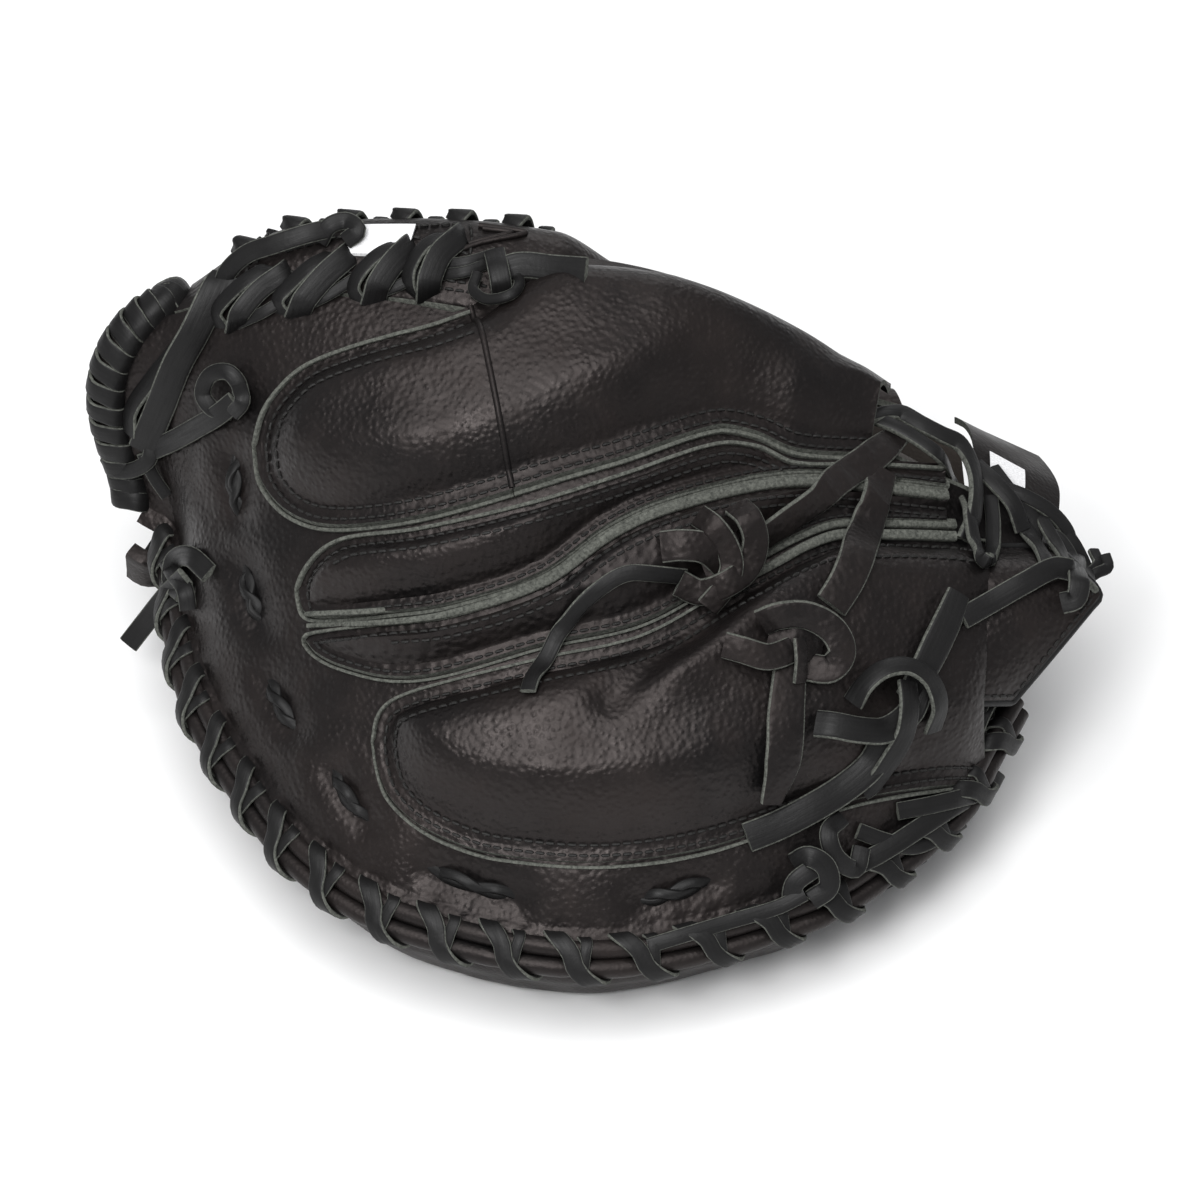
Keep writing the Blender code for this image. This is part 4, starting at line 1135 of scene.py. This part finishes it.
def finger_ties(ground):
    """Wide laces knotted over the stalls."""
    shape = Shape()
    strap(ground, shape, [(91, 48.6), (87, 46.4), (76, 39), (61, 29), (50, 21.6), (44, 17.5)], 9.6, 2.3, 2.4,
          [7.5, 10.2, 9.8, 9.4, 9.2, 9.0])
    loop_over(ground, shape, [(18, 15.5, 2), (24, 16, 5), (31, 15, 7), (37, 10, 7), (41, 4, 5)], 9.5, 2.3)
    loop_over(ground, shape, [(29, 24.5, 3), (33, 21.5, 8), (37, 16, 10), (38.5, 9.5, 10), (36, 3.5, 8),
                              (31.5, -2, 4)],
              7.2, 2.3, [(-0.3, 0.2), (-0.3, 0.1), (-0.2, 0), (0, 0), (0.2, 0), (0.3, 0)])
    loop_over(ground, shape, [(40, 27.5, 3), (43.5, 24, 9), (45.5, 17.5, 12), (43.5, 10, 12), (37.5, 5, 10),
                              (29.5, 2.3, 7), (23, 5, 3)], 8.2, 2.3,
              [(0.2, 0.3), (0.3, 0.1), (0.3, 0), (0.2, -0.1), (0, -0.2), (-0.1, -0.2), (-0.2, 0)])
    loop_over(ground, shape, [(30, 10, 1), (35, 12, 4), (41, 15, 2)], 14.0, 4.0)
    shape.finish("finger_tie_a", FINGER, [TIE, SUEDE, RAW], ["tie_a"], "lace_black")
    shape = Shape()
    strap(ground, shape, [(83.5, 38), (81, 29.5), (77, 17), (72, 6), (67, -2)], 10.5, 2.3, 2.0,
          [9.5, 10.5, 11.0, 11.0, 10.5])
    loop_over(ground, shape, [(36, -13, 3), (41.5, -14.5, 6), (49, -16.5, 7), (57, -14, 6)], 8.0, 2.3,
              [(0.2, -0.3), (0, -0.2), (0, 0), (0, 0)])
    loop_over(ground, shape, [(47, -6.5, 4), (52, -4.6, 9), (60, -4.4, 11), (67.5, -8.5, 11), (70.5, -15, 9),
                              (67, -20, 6), (60, -19.5, 3)], 8.6, 2.3,
              [(0, -0.4), (0, -0.4), (0, -0.3), (0.2, -0.2), (0.3, 0), (0, 0.2), (0, 0.2)])
    loop_over(ground, shape, [(50, -9, 2), (57, -11, 6), (64, -12, 3)], 14.0, 4.0)
    strap(ground, shape, [(56, -11), (54.5, -19), (53.4, -30), (52, -46), (48.5, -57.5)], 11.0, 2.3, 3.4,
          [8.0, 10.5, 11.6, 11.6, 7.0])
    loop_over(ground, shape, [(58, -11, 9), (58.5, -17, 8), (58, -24, 5)], 4.4, 2.0, [(0.8, 0)] * 3)
    shape.finish("finger_tie_b", FINGER, [TIE, SUEDE, RAW], ["tie_b"], "lace_black")
    shape = Shape()
    strap(ground, shape, [(104.6, 1.2), (101.5, -6), (98, -13), (94, -20.5), (89, -29)], 9.4, 2.2, 3.0,
          [7.5, 9.2, 9.6, 9.0, 8.5])
    loop_over(ground, shape, [(74, -30, 2), (77.5, -24.5, 6), (83, -20.2, 9), (90.5, -19.4, 10),
                              (97, -23.5, 9), (99.8, -31, 7), (98, -38.5, 3)], 6.6, 2.2,
              [(-0.5, -0.2), (-0.4, 0.6), (0, 0.9), (0.2, 0.9), (0.6, 0.5), (0.9, 0), (0.8, -0.2)])
    loop_over(ground, shape, [(63, -36, 2), (68, -36.5, 6), (76, -38, 8), (84, -38, 7), (91, -33, 5),
                              (94, -26, 3)],
              8.2, 2.2, [(-0.2, 0.3), (0, 0.3), (0, 0.3), (0, 0.2), (0, 0), (0, 0)])
    loop_over(ground, shape, [(90, -24, 6), (90.5, -32, 10), (89, -40, 10), (84.5, -48, 8), (80, -54, 4),
                              (77, -56, 2)], 7.0, 2.2, [(0.7, 0)] * 6)
    loop_over(ground, shape, [(84, -40, 5), (80, -48, 4), (72, -55, 3.4), (62, -61, 3), (52, -66, 2.8),
                              (43, -69.5, 2.4)], 9.0, 2.2)
    shape.finish("finger_tie_c", FINGER, [LACE, SUEDE, RAW], ["tie_c"], "lace_black")


def tail(ground):
    """Long free end of the first tie, lying on the stalls."""
    places, normals = ground.lay(TAIL_ROUTE, 1.6, 1.5, 2.0, 6)
    shape = lace(Shape(), places, normals, TAIL_WIDTH, LACE_THICK)
    piece = lace_piece(shape, "finger_tie_a_free_end", FINGER, ["tie_a_tail"])


# ---- web ---------------------------------------------------------------------------------

WEB_STOP = 0.5       # u where the web's panels end, under the hood
WEB_DOME, WEB_DIP = 8.5, 9.0
WEB_SEWING = [[(0.05, -0.10), (0.2, -0.102), (0.38, -0.10)], [(0.05, -0.085), (0.2, -0.087), (0.38, -0.085)],
              [(0.04, 0.36), (0.38, 0.36)], [(0.04, 0.35), (0.38, 0.35)],
              [(0.10, -0.08), (0.10, 0.33)], [(0.11, -0.08), (0.11, 0.33)],
              [(0.14, -0.03), (0.33, 0.09), (0.34, -0.03), (0.16, 0.07)]]
WEB_OUTLINES = [[(0.33, -0.02), (0.39, 0.07), (0.34, 0.08)], [(0.335, -0.005), (0.375, 0.06), (0.345, 0.065)]]


def web_lift(u, t):
    """How far the web domes out of its edges."""
    inward = np.sin(np.clip((t - WEB_FRONT) / (WEB_REAR - WEB_FRONT), 0, 1) * math.pi) ** 0.8
    return WEB_DOME * inward * smooth(u / 0.16) - WEB_DIP * smooth((u - WEB_END) / (WEB_STOP - WEB_END))


def web():
    """Two leather panels laced between the halves, outlined with stitching."""
    us, share = np.linspace(0.012, WEB_STOP, 100), np.linspace(0, 1, 60)
    u = np.repeat(us[:, None], len(share), 1)
    t = WEB_FRONT + (WEB_REAR - WEB_FRONT) * np.repeat(share[None], len(us), 0)
    flat = place(u, t, 0.0)
    dome = web_lift(u, t)
    for name, node, low, sign in (("web_back_leather", "web_back_panel", 0.6, -1),
                                  ("web_pocket_leather", "web_pocket_panel", 4.6, 1)):
        lift = 0.5 * rough(flat, 26.0, low) + 0.15 * rough(flat, 8.0, low)
        top = place(u, t, low - dome + (sign * lift if sign < 0 else 0.0))
        under = place(u, t, low - dome + 2.6 + (0.0 if sign < 0 else lift))
        leather_sheet(name, FINGER, top, under, [node], lies_under=sign < 0)
    shape = Shape()
    for line in WEB_SEWING:
        for a, b in zip(line[:-1], line[1:]):
            s = np.linspace(0, 1, 60)[:, None]
            spots = np.array(a) + (np.array(b) - np.array(a)) * s
            rise = web_lift(spots[:, 0], spots[:, 1])
            stitches(shape, place(spots[:, 0], spots[:, 1], 0.3 - rise), outward(spots[:, 0], spots[:, 1]))
    shape.finish("web_sewing", FINGER, [THREAD], slot="lace_black")
    shape = Shape()
    for line in WEB_OUTLINES:
        s = spline(line, np.linspace(0, 1, 40))
        tube(shape, place(s[:, 0], s[:, 1], 0.1 - web_lift(s[:, 0], s[:, 1])), 0.9, 10)
    shape.finish("web_corded_outline", FINGER, [SMOOTH])
    u, t = np.meshgrid(np.linspace(0.21, 0.275, 12), np.linspace(-0.05, 0.05, 16), indexing="ij")
    dome = web_lift(u, t)
    label("web_patch", FINGER, place(u, t, -1.0 - dome), place(u, t, 0.1 - dome), "web_label")


def label(name, body, top, under, node):
    """Blank patch; its weave runs along x and y."""
    shape = slab(Shape(), top, under)
    shape.uvs = [np.concatenate([top.reshape(-1, 3)[:, :2], under.reshape(-1, 3)[:, :2]])]
    shape.finish(name, body, [LABEL, LABEL, LABEL], [node], "label_white")


def web_loops(ground):
    """Laces from the web to each half, passing through both edges."""
    shape = Shape()
    wide = [[(-110, 81), (-108, 86), (-102, 93), (-95, 98)],
            [(-91, 84.5), (-88, 90), (-82, 97), (-76, 102.5)],
            [(-68, 88), (-66, 94), (-62, 100), (-57.5, 105)],
            [(-51.5, 89.5), (-50.5, 96), (-47.5, 103), (-42.5, 108)]]
    for number, (a, b, c, d) in enumerate(wide):
        spots = [(*a, -1.5), ((a[0] + b[0]) / 2, (a[1] + b[1]) / 2, 3.0), (*b, 5.0), (*c, 5.0), (*d, 2.5),
                 (d[0] + 2.0, d[1] + 2.0, -2.0)]
        loop_over(ground, shape, spots, 7.6 if number else 6.4, 1.7, [(0.25, 0.1)] * 6)
        spots = [(a[0] - 3.5, a[1] + 0.5, -1.5), (a[0] - 5.5, a[1] + 5, 3.0), (b[0] - 6.0, b[1] + 3, 4.2),
                 (c[0] - 5.0, c[1] + 2.5, 4.2), (c[0] + 1.0, c[1] + 6, 1.5), (c[0] + 4, c[1] + 7, -2.0)]
        loop_over(ground, shape, spots, 5.2, 1.7, [(-0.9, 0.2)] * 6)
    for start, end, rise in (((-109, 83), (-92, 92), 2.0), ((-91, 87), (-72, 97), 2.0),
                             ((-68, 91), (-51, 99), 2.0), ((-48, 100), (-31, 103.5), 2.4),
                             ((-47, 97), (-33, 100.5), 2.2)):
        middle = ((start[0] + end[0]) / 2, (start[1] + end[1]) / 2 - 1.0)
        loop_over(ground, shape, [(*start, 0.5), (*middle, rise), (*end, 0.5)], 3.6, 1.6)
    lace_piece(shape, "web_finger_loops", FINGER, ["web_finger_lace"])
    shape = Shape()
    for u in np.linspace(0.09, 0.39, 6):
        ts = np.array([0.16, 0.18, 0.24, 0.32, 0.42, 0.5, 0.54])
        path_u = u + 0.02 * np.linspace(-1, 1, 7)
        ms = np.array([2.0, -2.0, -4.0, -4.5, -5.0, -2.2, 2.5]) - web_lift(path_u, ts)
        free_path(place(path_u, ts, ms), outward(path_u, ts), shape, LACE_WIDTH * 1.15, 2.0)
        ts = np.array([0.3, 0.28, 0.3, 0.4, 0.48])
        path_u = u + 0.025 + 0.01 * np.linspace(-1, 1, 5)
        ms = np.array([-1.0, -3.4, -6.2, -5.2, -1.0]) - web_lift(path_u, ts)
        free_path(place(path_u, ts, ms), outward(path_u, ts), shape, LACE_WIDTH * 0.8, 1.8)
    lace_piece(shape, "web_thumb_loops", THUMB, ["web_thumb_lace"])


def web_ties(ground):
    """Knots and free ends along the web."""
    shape = Shape()
    loop_over(ground, shape, [(-114, 94, 1), (-112, 99, 5), (-106, 104, 7), (-98, 106.5, 7.5),
                              (-88, 109.5, 7), (-80, 111.5, 5)], LACE_WIDTH * 0.95, 1.7)
    loop_over(ground, shape, [(-84, 107.5, 2), (-81, 112, 7), (-76, 113.5, 8), (-72.5, 110.5, 6),
                              (-76, 107.5, 3)],
              5.5, 2.6)
    lace_piece(shape, "web_knot", FINGER, ["web_tie"])
    shape = Shape()
    loop_over(ground, shape, [(-31.5, 104, 2), (-30.5, 100, 8), (-29.5, 95, 8), (-29, 91, 3)], 6.5, 1.9)
    loop_over(ground, shape, [(-36.5, 97, 3), (-37.5, 92, 5), (-33, 89, 6), (-26, 90.5, 6), (-24, 95, 5),
                              (-27, 98, 4)], 3.4, 3.0)
    loop_over(ground, shape, [(-31, 97, 5), (-24, 99.5, 6.5), (-14, 98.5, 4.5), (-4, 97.5, 3)], 8.0, 1.9)
    lace_piece(shape, "web_base_knot", FINGER)
    shape = Shape()
    loop_over(ground, shape, [(-113, 98, 3), (-116, 93, 5), (-122, 81, 5), (-128, 71, 4.5), (-134, 58, 4),
                              (-140, 46, 3)], 9.4, 1.9,
                              [(-0.5, 0), (0.1, 0), (0.3, 0), (0.2, 0), (0, 0), (0, 0)])
    loop_over(ground, shape, [(-121, 84, 3), (-128, 76, 4), (-137, 66, 4), (-143, 58, 3.5), (-144, 51, 2.5)],
              6.5, 1.8, [(-0.8, 0.3)] * 5)
    loop_over(ground, shape, [(-152, 44, 1), (-149, 40, 5), (-143, 40, 6), (-138, 43, 4), (-137, 47, 2)],
              5.0, 2.6)
    loop_over(ground, shape, [(-140, 45, 3), (-137, 38, 3), (-133, 32, 2)], 4.0, 1.8)
    lace_piece(shape, "web_tip_ties", FINGER)
    shape = Shape()
    loop_over(ground, shape, [(-118, 8, 2), (-124, 13, 6), (-130, 12, 7), (-131, 6, 6), (-127, 2, 4)], 6.5,
              2.2)
    loop_over(ground, shape, [(-133, 12, 4), (-130, 8, 8), (-126, 3, 8), (-125, -3, 4)], 5.5, 2.2)
    loop_over(ground, shape, [(-126, 7, 8), (-133, 1, 7), (-140, -7, 4), (-146, -16, 2)], 6.6, 1.8)
    lace_piece(shape, "rim_knot_left", FINGER)


# ---- wrist -------------------------------------------------------------------------------

def wrist():
    """Strap over the open back, with a blank label."""
    u, t = np.meshgrid(np.linspace(0.92, 1.03, 30), np.linspace(-0.36, CREASE + 0.04, 60), indexing="ij")
    flat = place(u, t, 0.0)
    lift = 0.5 * rough(flat, 20.0, 9.0)
    leather_sheet("wrist_strap_leather", FINGER, place(u, t, -2.2 - lift), place(u, t, -lift),
                  ["wrist_strap"], SMOOTH)
    u, t = np.meshgrid(np.linspace(0.94, 0.985, 10), np.linspace(-0.13, 0.02, 20), indexing="ij")
    label("strap_patch", FINGER, place(u, t, -3.4), place(u, t, -2.3), "strap_label")


FLAP_VS = (-30.5, 16.0)      # v of the flap's two sides
FLAP_ENDS = [123, 134, 143, 147.5, 149.5, 150, 150, 149.5, 148, 144, 138]     # x of its edge
FLAP_BACK, FLAP_DROP = 8.0, 9.0


def wrist_flap(stall_end):
    """Smooth flap that the pinky stall's leather runs into, bound along its edge."""
    share, vs = np.linspace(0, 1, 60), np.linspace(*FLAP_VS, 50)
    outline = np.column_stack([np.linspace(0, 1, len(FLAP_ENDS)), FLAP_ENDS])
    ends = spline(outline, np.linspace(0, 1, 50))[:, 1]
    seen = (stall_end + ORIGIN) @ np.array([0, LEAN, LEAN]) - LEAN_FOOT * LEAN
    order = np.argsort(seen)
    roots = np.stack([np.interp(vs, seen[order], stall_end[order, k]) for k in range(3)], -1)
    roots = roots - VIEW * 0.9 - np.array([FLAP_BACK, 0, 0])
    run = (ends - ORIGIN[0] - roots[:, 0])[None] * share[:, None]
    drop = FLAP_DROP * share[:, None] ** 1.6 + 0 * run
    top = roots[None] + np.stack([run, drop, -drop], -1)
    swell = 0.5 * rough(top, 18.0, 11.0) + 0.8
    top = top - VIEW * (swell * smooth(share * 4)[:, None])[..., None]
    under = top + VIEW * PANEL
    leather_sheet("wrist_flap_leather", FINGER, top, under, ["wrist_flap"])
    border = np.concatenate([top[18::3, 0], top[-1, ::3], top[:18:-3, -1]]) + VIEW * PANEL / 2
    tube(Shape(), along(border, 1.5), 1.3, 12).finish("wrist_flap_binding", FINGER, [LACE])
    inset = along(np.concatenate([top[24:-3:3, 2], top[-4, 2:-2:3]]), 1.0)
    shape = stitches(Shape(), inset, np.repeat(-VIEW[None], len(inset), 0))
    shape.finish("wrist_flap_sewing", FINGER, [THREAD], slot="lace_black")


def wrist_laces(ground):
    """Loops at the opening, the crossing laces of the strap and the tied end."""
    shape = Shape()
    loop_over(ground, shape, [(78, 54, -6), (90, 59.5, 4), (97, 60, 8), (103, 57, 9), (109, 49, 9),
                              (112.8, 38, 9), (112.2, 26, 7), (109, 18, 2)], 5.6, 2.6,
                              [(-0.5, 0.6), (-0.3, 0.7), (0, 0.7), (0.4, 0.5), (0.7, 0.2), (0.9, 0),
                               (0.9, 0), (0.8, 0)])
    loop_over(ground, shape, [(74, 56, -6), (83, 54.5, 3), (92, 50.5, 7), (102, 43.5, 9), (107.5, 35, 9),
                              (110.5, 26, 9), (112, 17, 8), (114.5, 11.5, 7), (117.5, 15, 6),
                              (118.2, 23, 5), (117.8, 31, 3)],
              4.6, 2.4, [(0.2, 0.8), (0.2, 0.8), (0.3, 0.7), (0.6, 0.4), (0.7, 0.2), (0.8, 0), (0.6, -0.2),
                         (0, -0.3), (-0.3, 0), (-0.2, 0), (0, 0)])
    lace_piece(shape, "opening_loops", FINGER, ["opening_lace"])
    shape = Shape()
    crossings = [([(113.5, 41, 2), (119, 35.5, 6), (124.5, 29, 7), (127.5, 21, 3)], 5.4),
                 ([(121, 34, 2), (128, 31.5, 6), (136, 27, 7), (141.5, 21, 6), (143, 15, 3)], 4.8),
                 ([(119, 40, 1), (124, 33, 4), (130, 26, 4), (134, 19, 2)], 4.6),
                 ([(126, 25, 2), (130, 19, 4), (133, 13, 3), (134, 9, 1)], 5.0),
                 ([(132, 31, 2), (134, 24, 5), (138, 16, 5), (140, 10, 2)], 4.4),
                 ([(138, 24, 3), (143.5, 17, 5), (147, 10, 4), (147, 4, 2)], 4.8),
                 ([(143, 11, 3), (147, 8, 5), (151, 11, 5), (150, 15, 3)], 3.6)]
    for spots, width in crossings:
        loop_over(ground, shape, spots, width, 2.2, [(0.4, 0.2)] * len(spots))
    lace_piece(shape, "strap_crossing_laces", FINGER)
    shape = Shape()
    loop_over(ground, shape, [(134, 19, 3), (137.5, 18, 8), (141, 13, 9.5), (142.5, 6, 9), (141.5, 0.5, 7),
                              (137.5, -1, 4)], 6.6, 2.4, [(0.2, 0.2)] * 6)
    loop_over(ground, shape, [(144, 14, 3), (141, 9, 6), (135.5, 9.6, 7), (126, 5, 5), (116, -0.6, 4),
                              (107.3, -5.4, 3)], 6.8, 2.0)
    loop_over(ground, shape, [(143, 6, 4), (147.5, 5.5, 5), (151.5, 6, 6), (154, 9.5, 6),
                              (153.4, 13.5, 6)], 3.6, 2.2)
    lace_piece(shape, "wrist_knot", FINGER, ["wrist_tie"])


def heel(ground):
    """Rolled edge of the heel and the laces round it."""
    ts = np.linspace(-0.9, -0.2, 60)
    tube(Shape(), place(1.0, ts, 5.0), 3.2).finish("heel_welt", FINGER, [SMOOTH], ["heel_roll"])
    shape = Shape()
    for t in np.linspace(-0.9, -0.36, 9):
        us = np.array([0.972, 0.985, 1.004, 1.02, 1.012])
        ts = t + np.linspace(-0.03, 0.03, 5)
        places = place(us, ts, [0.0, -2.4, -2.2, 4.0, 9.0])
        ups = unit(places - place(0.985, t, 8.0))
        free_path(places, ups, shape, LACE_WIDTH * 0.9, LACE_THICK)
    loop_over(ground, shape, [(88, -62.5, 1), (97, -61, 4), (107, -59, 5), (116, -57, 4), (119, -56, 1)],
              5.4, 1.9)
    loop_over(ground, shape, [(76, -68, 1), (84, -71, 3.5), (93, -73, 4), (102, -69.5, 3.5),
                              (108, -66, 1)], 5.0, 1.9)
    loop_over(ground, shape, [(74, -79, 2), (83, -74.5, 4), (93, -68.5, 4.5), (104, -62, 4),
                              (112, -58, 2)], 6.0, 1.9)
    lace_piece(shape, "heel_whip_lace", FINGER)


# ---- thumb half --------------------------------------------------------------------------

def thumb_stall():
    """Cover over the thumb, and its sewing."""
    us = np.linspace(0.26, 0.88, 9)
    low = [(u, 0.955) for u in us]
    high = [(u, 0.60) for u in us]
    low[0], high[0] = (0.27, 0.80), (0.27, 0.76)
    low[1], high[1] = (0.30, 0.93), (0.30, 0.63)
    crowned("thumb", "thumb_stall", low, high, 12.0, 15.0, [], False, body=THUMB)
    shape = Shape()
    for inset in (0.035, 0.065):
        for t in (0.955 - inset, 0.60 + inset):
            u = np.linspace(0.34, 0.87, 160)
            stitches(shape, place(u, t, -SEAM - PANEL - 0.1), outward(u, t))
    shape.finish("thumb_sewing", THUMB, [THREAD], slot="lace_black")


def thumb_details():
    """Stitches of the thumb pad's lace, and the loop that holds the thumb."""
    for number, at in enumerate(THUMB_STITCHES, 1):
        us, ts = at + np.linspace(0, 0.01, 5), np.linspace(*THUMB_STITCH_T, 5)
        shape = free_path(place(us, ts, [3.0, -0.6, -1.4, -0.6, 3.0]), outward(us, ts), Shape(), 5.0)
        lace_piece(shape, f"thumb_pad_stitch_{number}", THUMB, [f"thumb_lace_stitch_{number}"])
    ts = np.linspace(0.69, 0.86, 9)
    ms = -2.5 - 6 * np.sin(np.linspace(0, math.pi, 9))
    shape = free_path(place(0.62, ts, ms), outward(0.62, ts), Shape(), LACE_WIDTH)
    lace_piece(shape, "thumb_holding_loop", THUMB, ["thumb_loop"])


# ---- padding -----------------------------------------------------------------------------

def pad_copy(name, node, body, look, swell):
    """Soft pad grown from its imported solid: remeshed, blown up a little, and smoothed."""
    thing = bpy.data.objects.new(name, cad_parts[node].data.copy())
    thing.matrix_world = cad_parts[node].matrix_world.copy()
    bpy.context.scene.collection.objects.link(thing)
    thing.data.materials.clear()
    thing.data.materials.append(look)
    remesh = thing.modifiers.new("remesh", "REMESH")
    remesh.mode = "VOXEL"
    remesh.voxel_size = 0.005 if swell else 0.004
    settle(thing)
    if swell:
        puff(thing, swell)
    ease = thing.modifiers.new("ease", "SMOOTH")
    ease.iterations = 4
    settle(thing)
    thing.data.shade_smooth()
    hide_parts(node)
    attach(thing, body)


def settle(thing):
    """Apply the modifiers to the mesh."""
    bpy.context.view_layer.update()
    shaped = bpy.data.meshes.new_from_object(thing.evaluated_get(bpy.context.evaluated_depsgraph_get()))
    thing.modifiers.clear()
    thing.data = shaped


PUFF_FRAMES = 20


def puff(thing, cap):
    """Blow the pad up as cloth, no point by more than cap metres."""
    before = np.array([v.co for v in thing.data.vertices])
    cloth = thing.modifiers.new("cloth", "CLOTH")
    cloth.settings.use_pressure = True
    cloth.settings.uniform_pressure_force = 4.0
    cloth.settings.effector_weights.gravity = 0.0
    cloth.point_cache.frame_start, cloth.point_cache.frame_end = 1, PUFF_FRAMES
    for now in range(1, PUFF_FRAMES + 1):
        bpy.context.scene.frame_set(now)
    settle(thing)
    bpy.context.scene.frame_set(1)
    after = np.array([v.co for v in thing.data.vertices])
    move = after - before
    far = np.linalg.norm(move, axis=1, keepdims=True)
    after = before + move * np.minimum(1.0, cap / np.maximum(far, 1e-9))
    for vertex, spot in zip(thing.data.vertices, after):
        vertex.co = spot


LINING_U = (0.43, 0.985)
LINING_TOPS = [(0.43, 9.0), (0.58, 19.5), (1.0, 20.5)]       # (u, depth) of its two faces
LINING_UNDERS = [(0.43, 10.4), (0.58, 21.5), (1.0, 22.4)]


def padding():
    """Felt of the two halves and the heel, and the lining under the palm."""
    pad_copy("finger_felt", "finger_pad", FINGER, FELT, 0.0)
    pad_copy("thumb_felt", "thumb_pad", THUMB, FELT, 0.0)
    pad_copy("heel_felt", "heel_pad", FINGER, FELT, 0.0008)
    us, ts = np.linspace(*LINING_U, 60), np.linspace(0, 1, 50)
    u = np.repeat(us[:, None], len(ts), 1)
    t = finger_edge(u) + 0.015 + (thumb_edge(u) - 0.03 - finger_edge(u)) * ts[None]
    flat = place(u, t, 0.0)
    sag = 1.5 * rough(flat, 28.0, 7.0) - 2.0 * np.sin(ts * math.pi)[None]
    top, under = place(u, t, table(LINING_TOPS, u) - sag), place(u, t, table(LINING_UNDERS, u) - sag)
    leather_sheet("palm_lining_leather", FINGER, top, under, ["palm_lining"], LINING, "lining")


# ---- stage -------------------------------------------------------------------------------

TARGET = (0.004, 0.0, 0.0725)
VIEW_WIDTH = 0.36
DISTANCE = 1.8
SENSOR = 36.0


def camera():
    """Camera that looks down at 45 degrees from the front."""
    data = bpy.data.cameras.new("camera")
    data.sensor_width = SENSOR
    data.lens = SENSOR * DISTANCE / VIEW_WIDTH
    data.clip_end = 20.0
    thing = bpy.data.objects.new("camera", data)
    thing.location = (TARGET[0], TARGET[1] - DISTANCE * LEAN, TARGET[2] + DISTANCE * LEAN)
    thing.rotation_euler = (math.radians(45), 0.0, 0.0)
    bpy.context.scene.collection.objects.link(thing)
    bpy.context.scene.camera = thing


def area_light(name, spot, power, size):
    data = bpy.data.lights.new(name, "AREA")
    data.energy, data.size = power, size
    thing = bpy.data.objects.new(name, data)
    thing.location = spot
    aim = Vector(TARGET) - Vector(spot)
    thing.rotation_euler = aim.to_track_quat("-Z", "Y").to_euler()
    bpy.context.scene.collection.objects.link(thing)


def stage():
    """White floor and world, and three soft lights."""
    bpy.ops.mesh.primitive_plane_add(size=8.0, location=(0, 0, -0.0004))
    floor = bpy.context.active_object
    floor.name = "floor"
    s = Shader("floor_paper", 0.9, 0.1)
    floor.data.materials.append(s.done(s.mix(s.noise(3, 2), (0.87, 0.87, 0.87), (0.89, 0.89, 0.89))))
    world = bpy.data.worlds.new("studio")
    bpy.context.scene.world = world
    world.use_nodes = True
    world.node_tree.nodes["Background"].inputs["Color"].default_value = (0.97, 0.98, 1.0, 1.0)
    world.node_tree.nodes["Background"].inputs["Strength"].default_value = 0.4
    area_light("overhead", (-0.2, -0.6, 2.2), 50.0, 2.0)
    area_light("key", (-0.35, -0.9, 1.1), 9.0, 0.4)
    area_light("back", (0.3, 1.3, 0.9), 3.0, 0.7)
    bpy.context.scene.view_settings.view_transform = "Standard"


def main():
    camera()
    finger_back()
    stall_end = finger_stalls()
    hood()
    web()
    padding()
    wrist()
    wrist_flap(stall_end)
    ground = Ground()
    standing_edges(ground)
    sewing(ground)
    pad_lace(ground)
    tail(ground)
    finger_ties(ground)
    web_loops(ground)
    web_ties(ground)
    wrist_laces(ground)
    heel(ground)
    thumb_back()
    thumb_stall()
    thumb_details()
    palm("finger_palm_skin", FINGER, -1, np.linspace(0.0, 0.99, 150), lambda u: finger_edge(u) - 0.01,
         "finger_palm_leather")
    palm("thumb_palm_skin", THUMB, 1, np.linspace(0.03, 0.945, 110), thumb_edge, "thumb_palm_leather")
    pocket()
    hollow_walls()
    rim("finger", FINGER, -1, FINGER_RIM, FINGER_TURNS)
    rim("thumb", THUMB, 1, THUMB_RIM, THUMB_TURNS)
    web_binding()
    stage()


main()
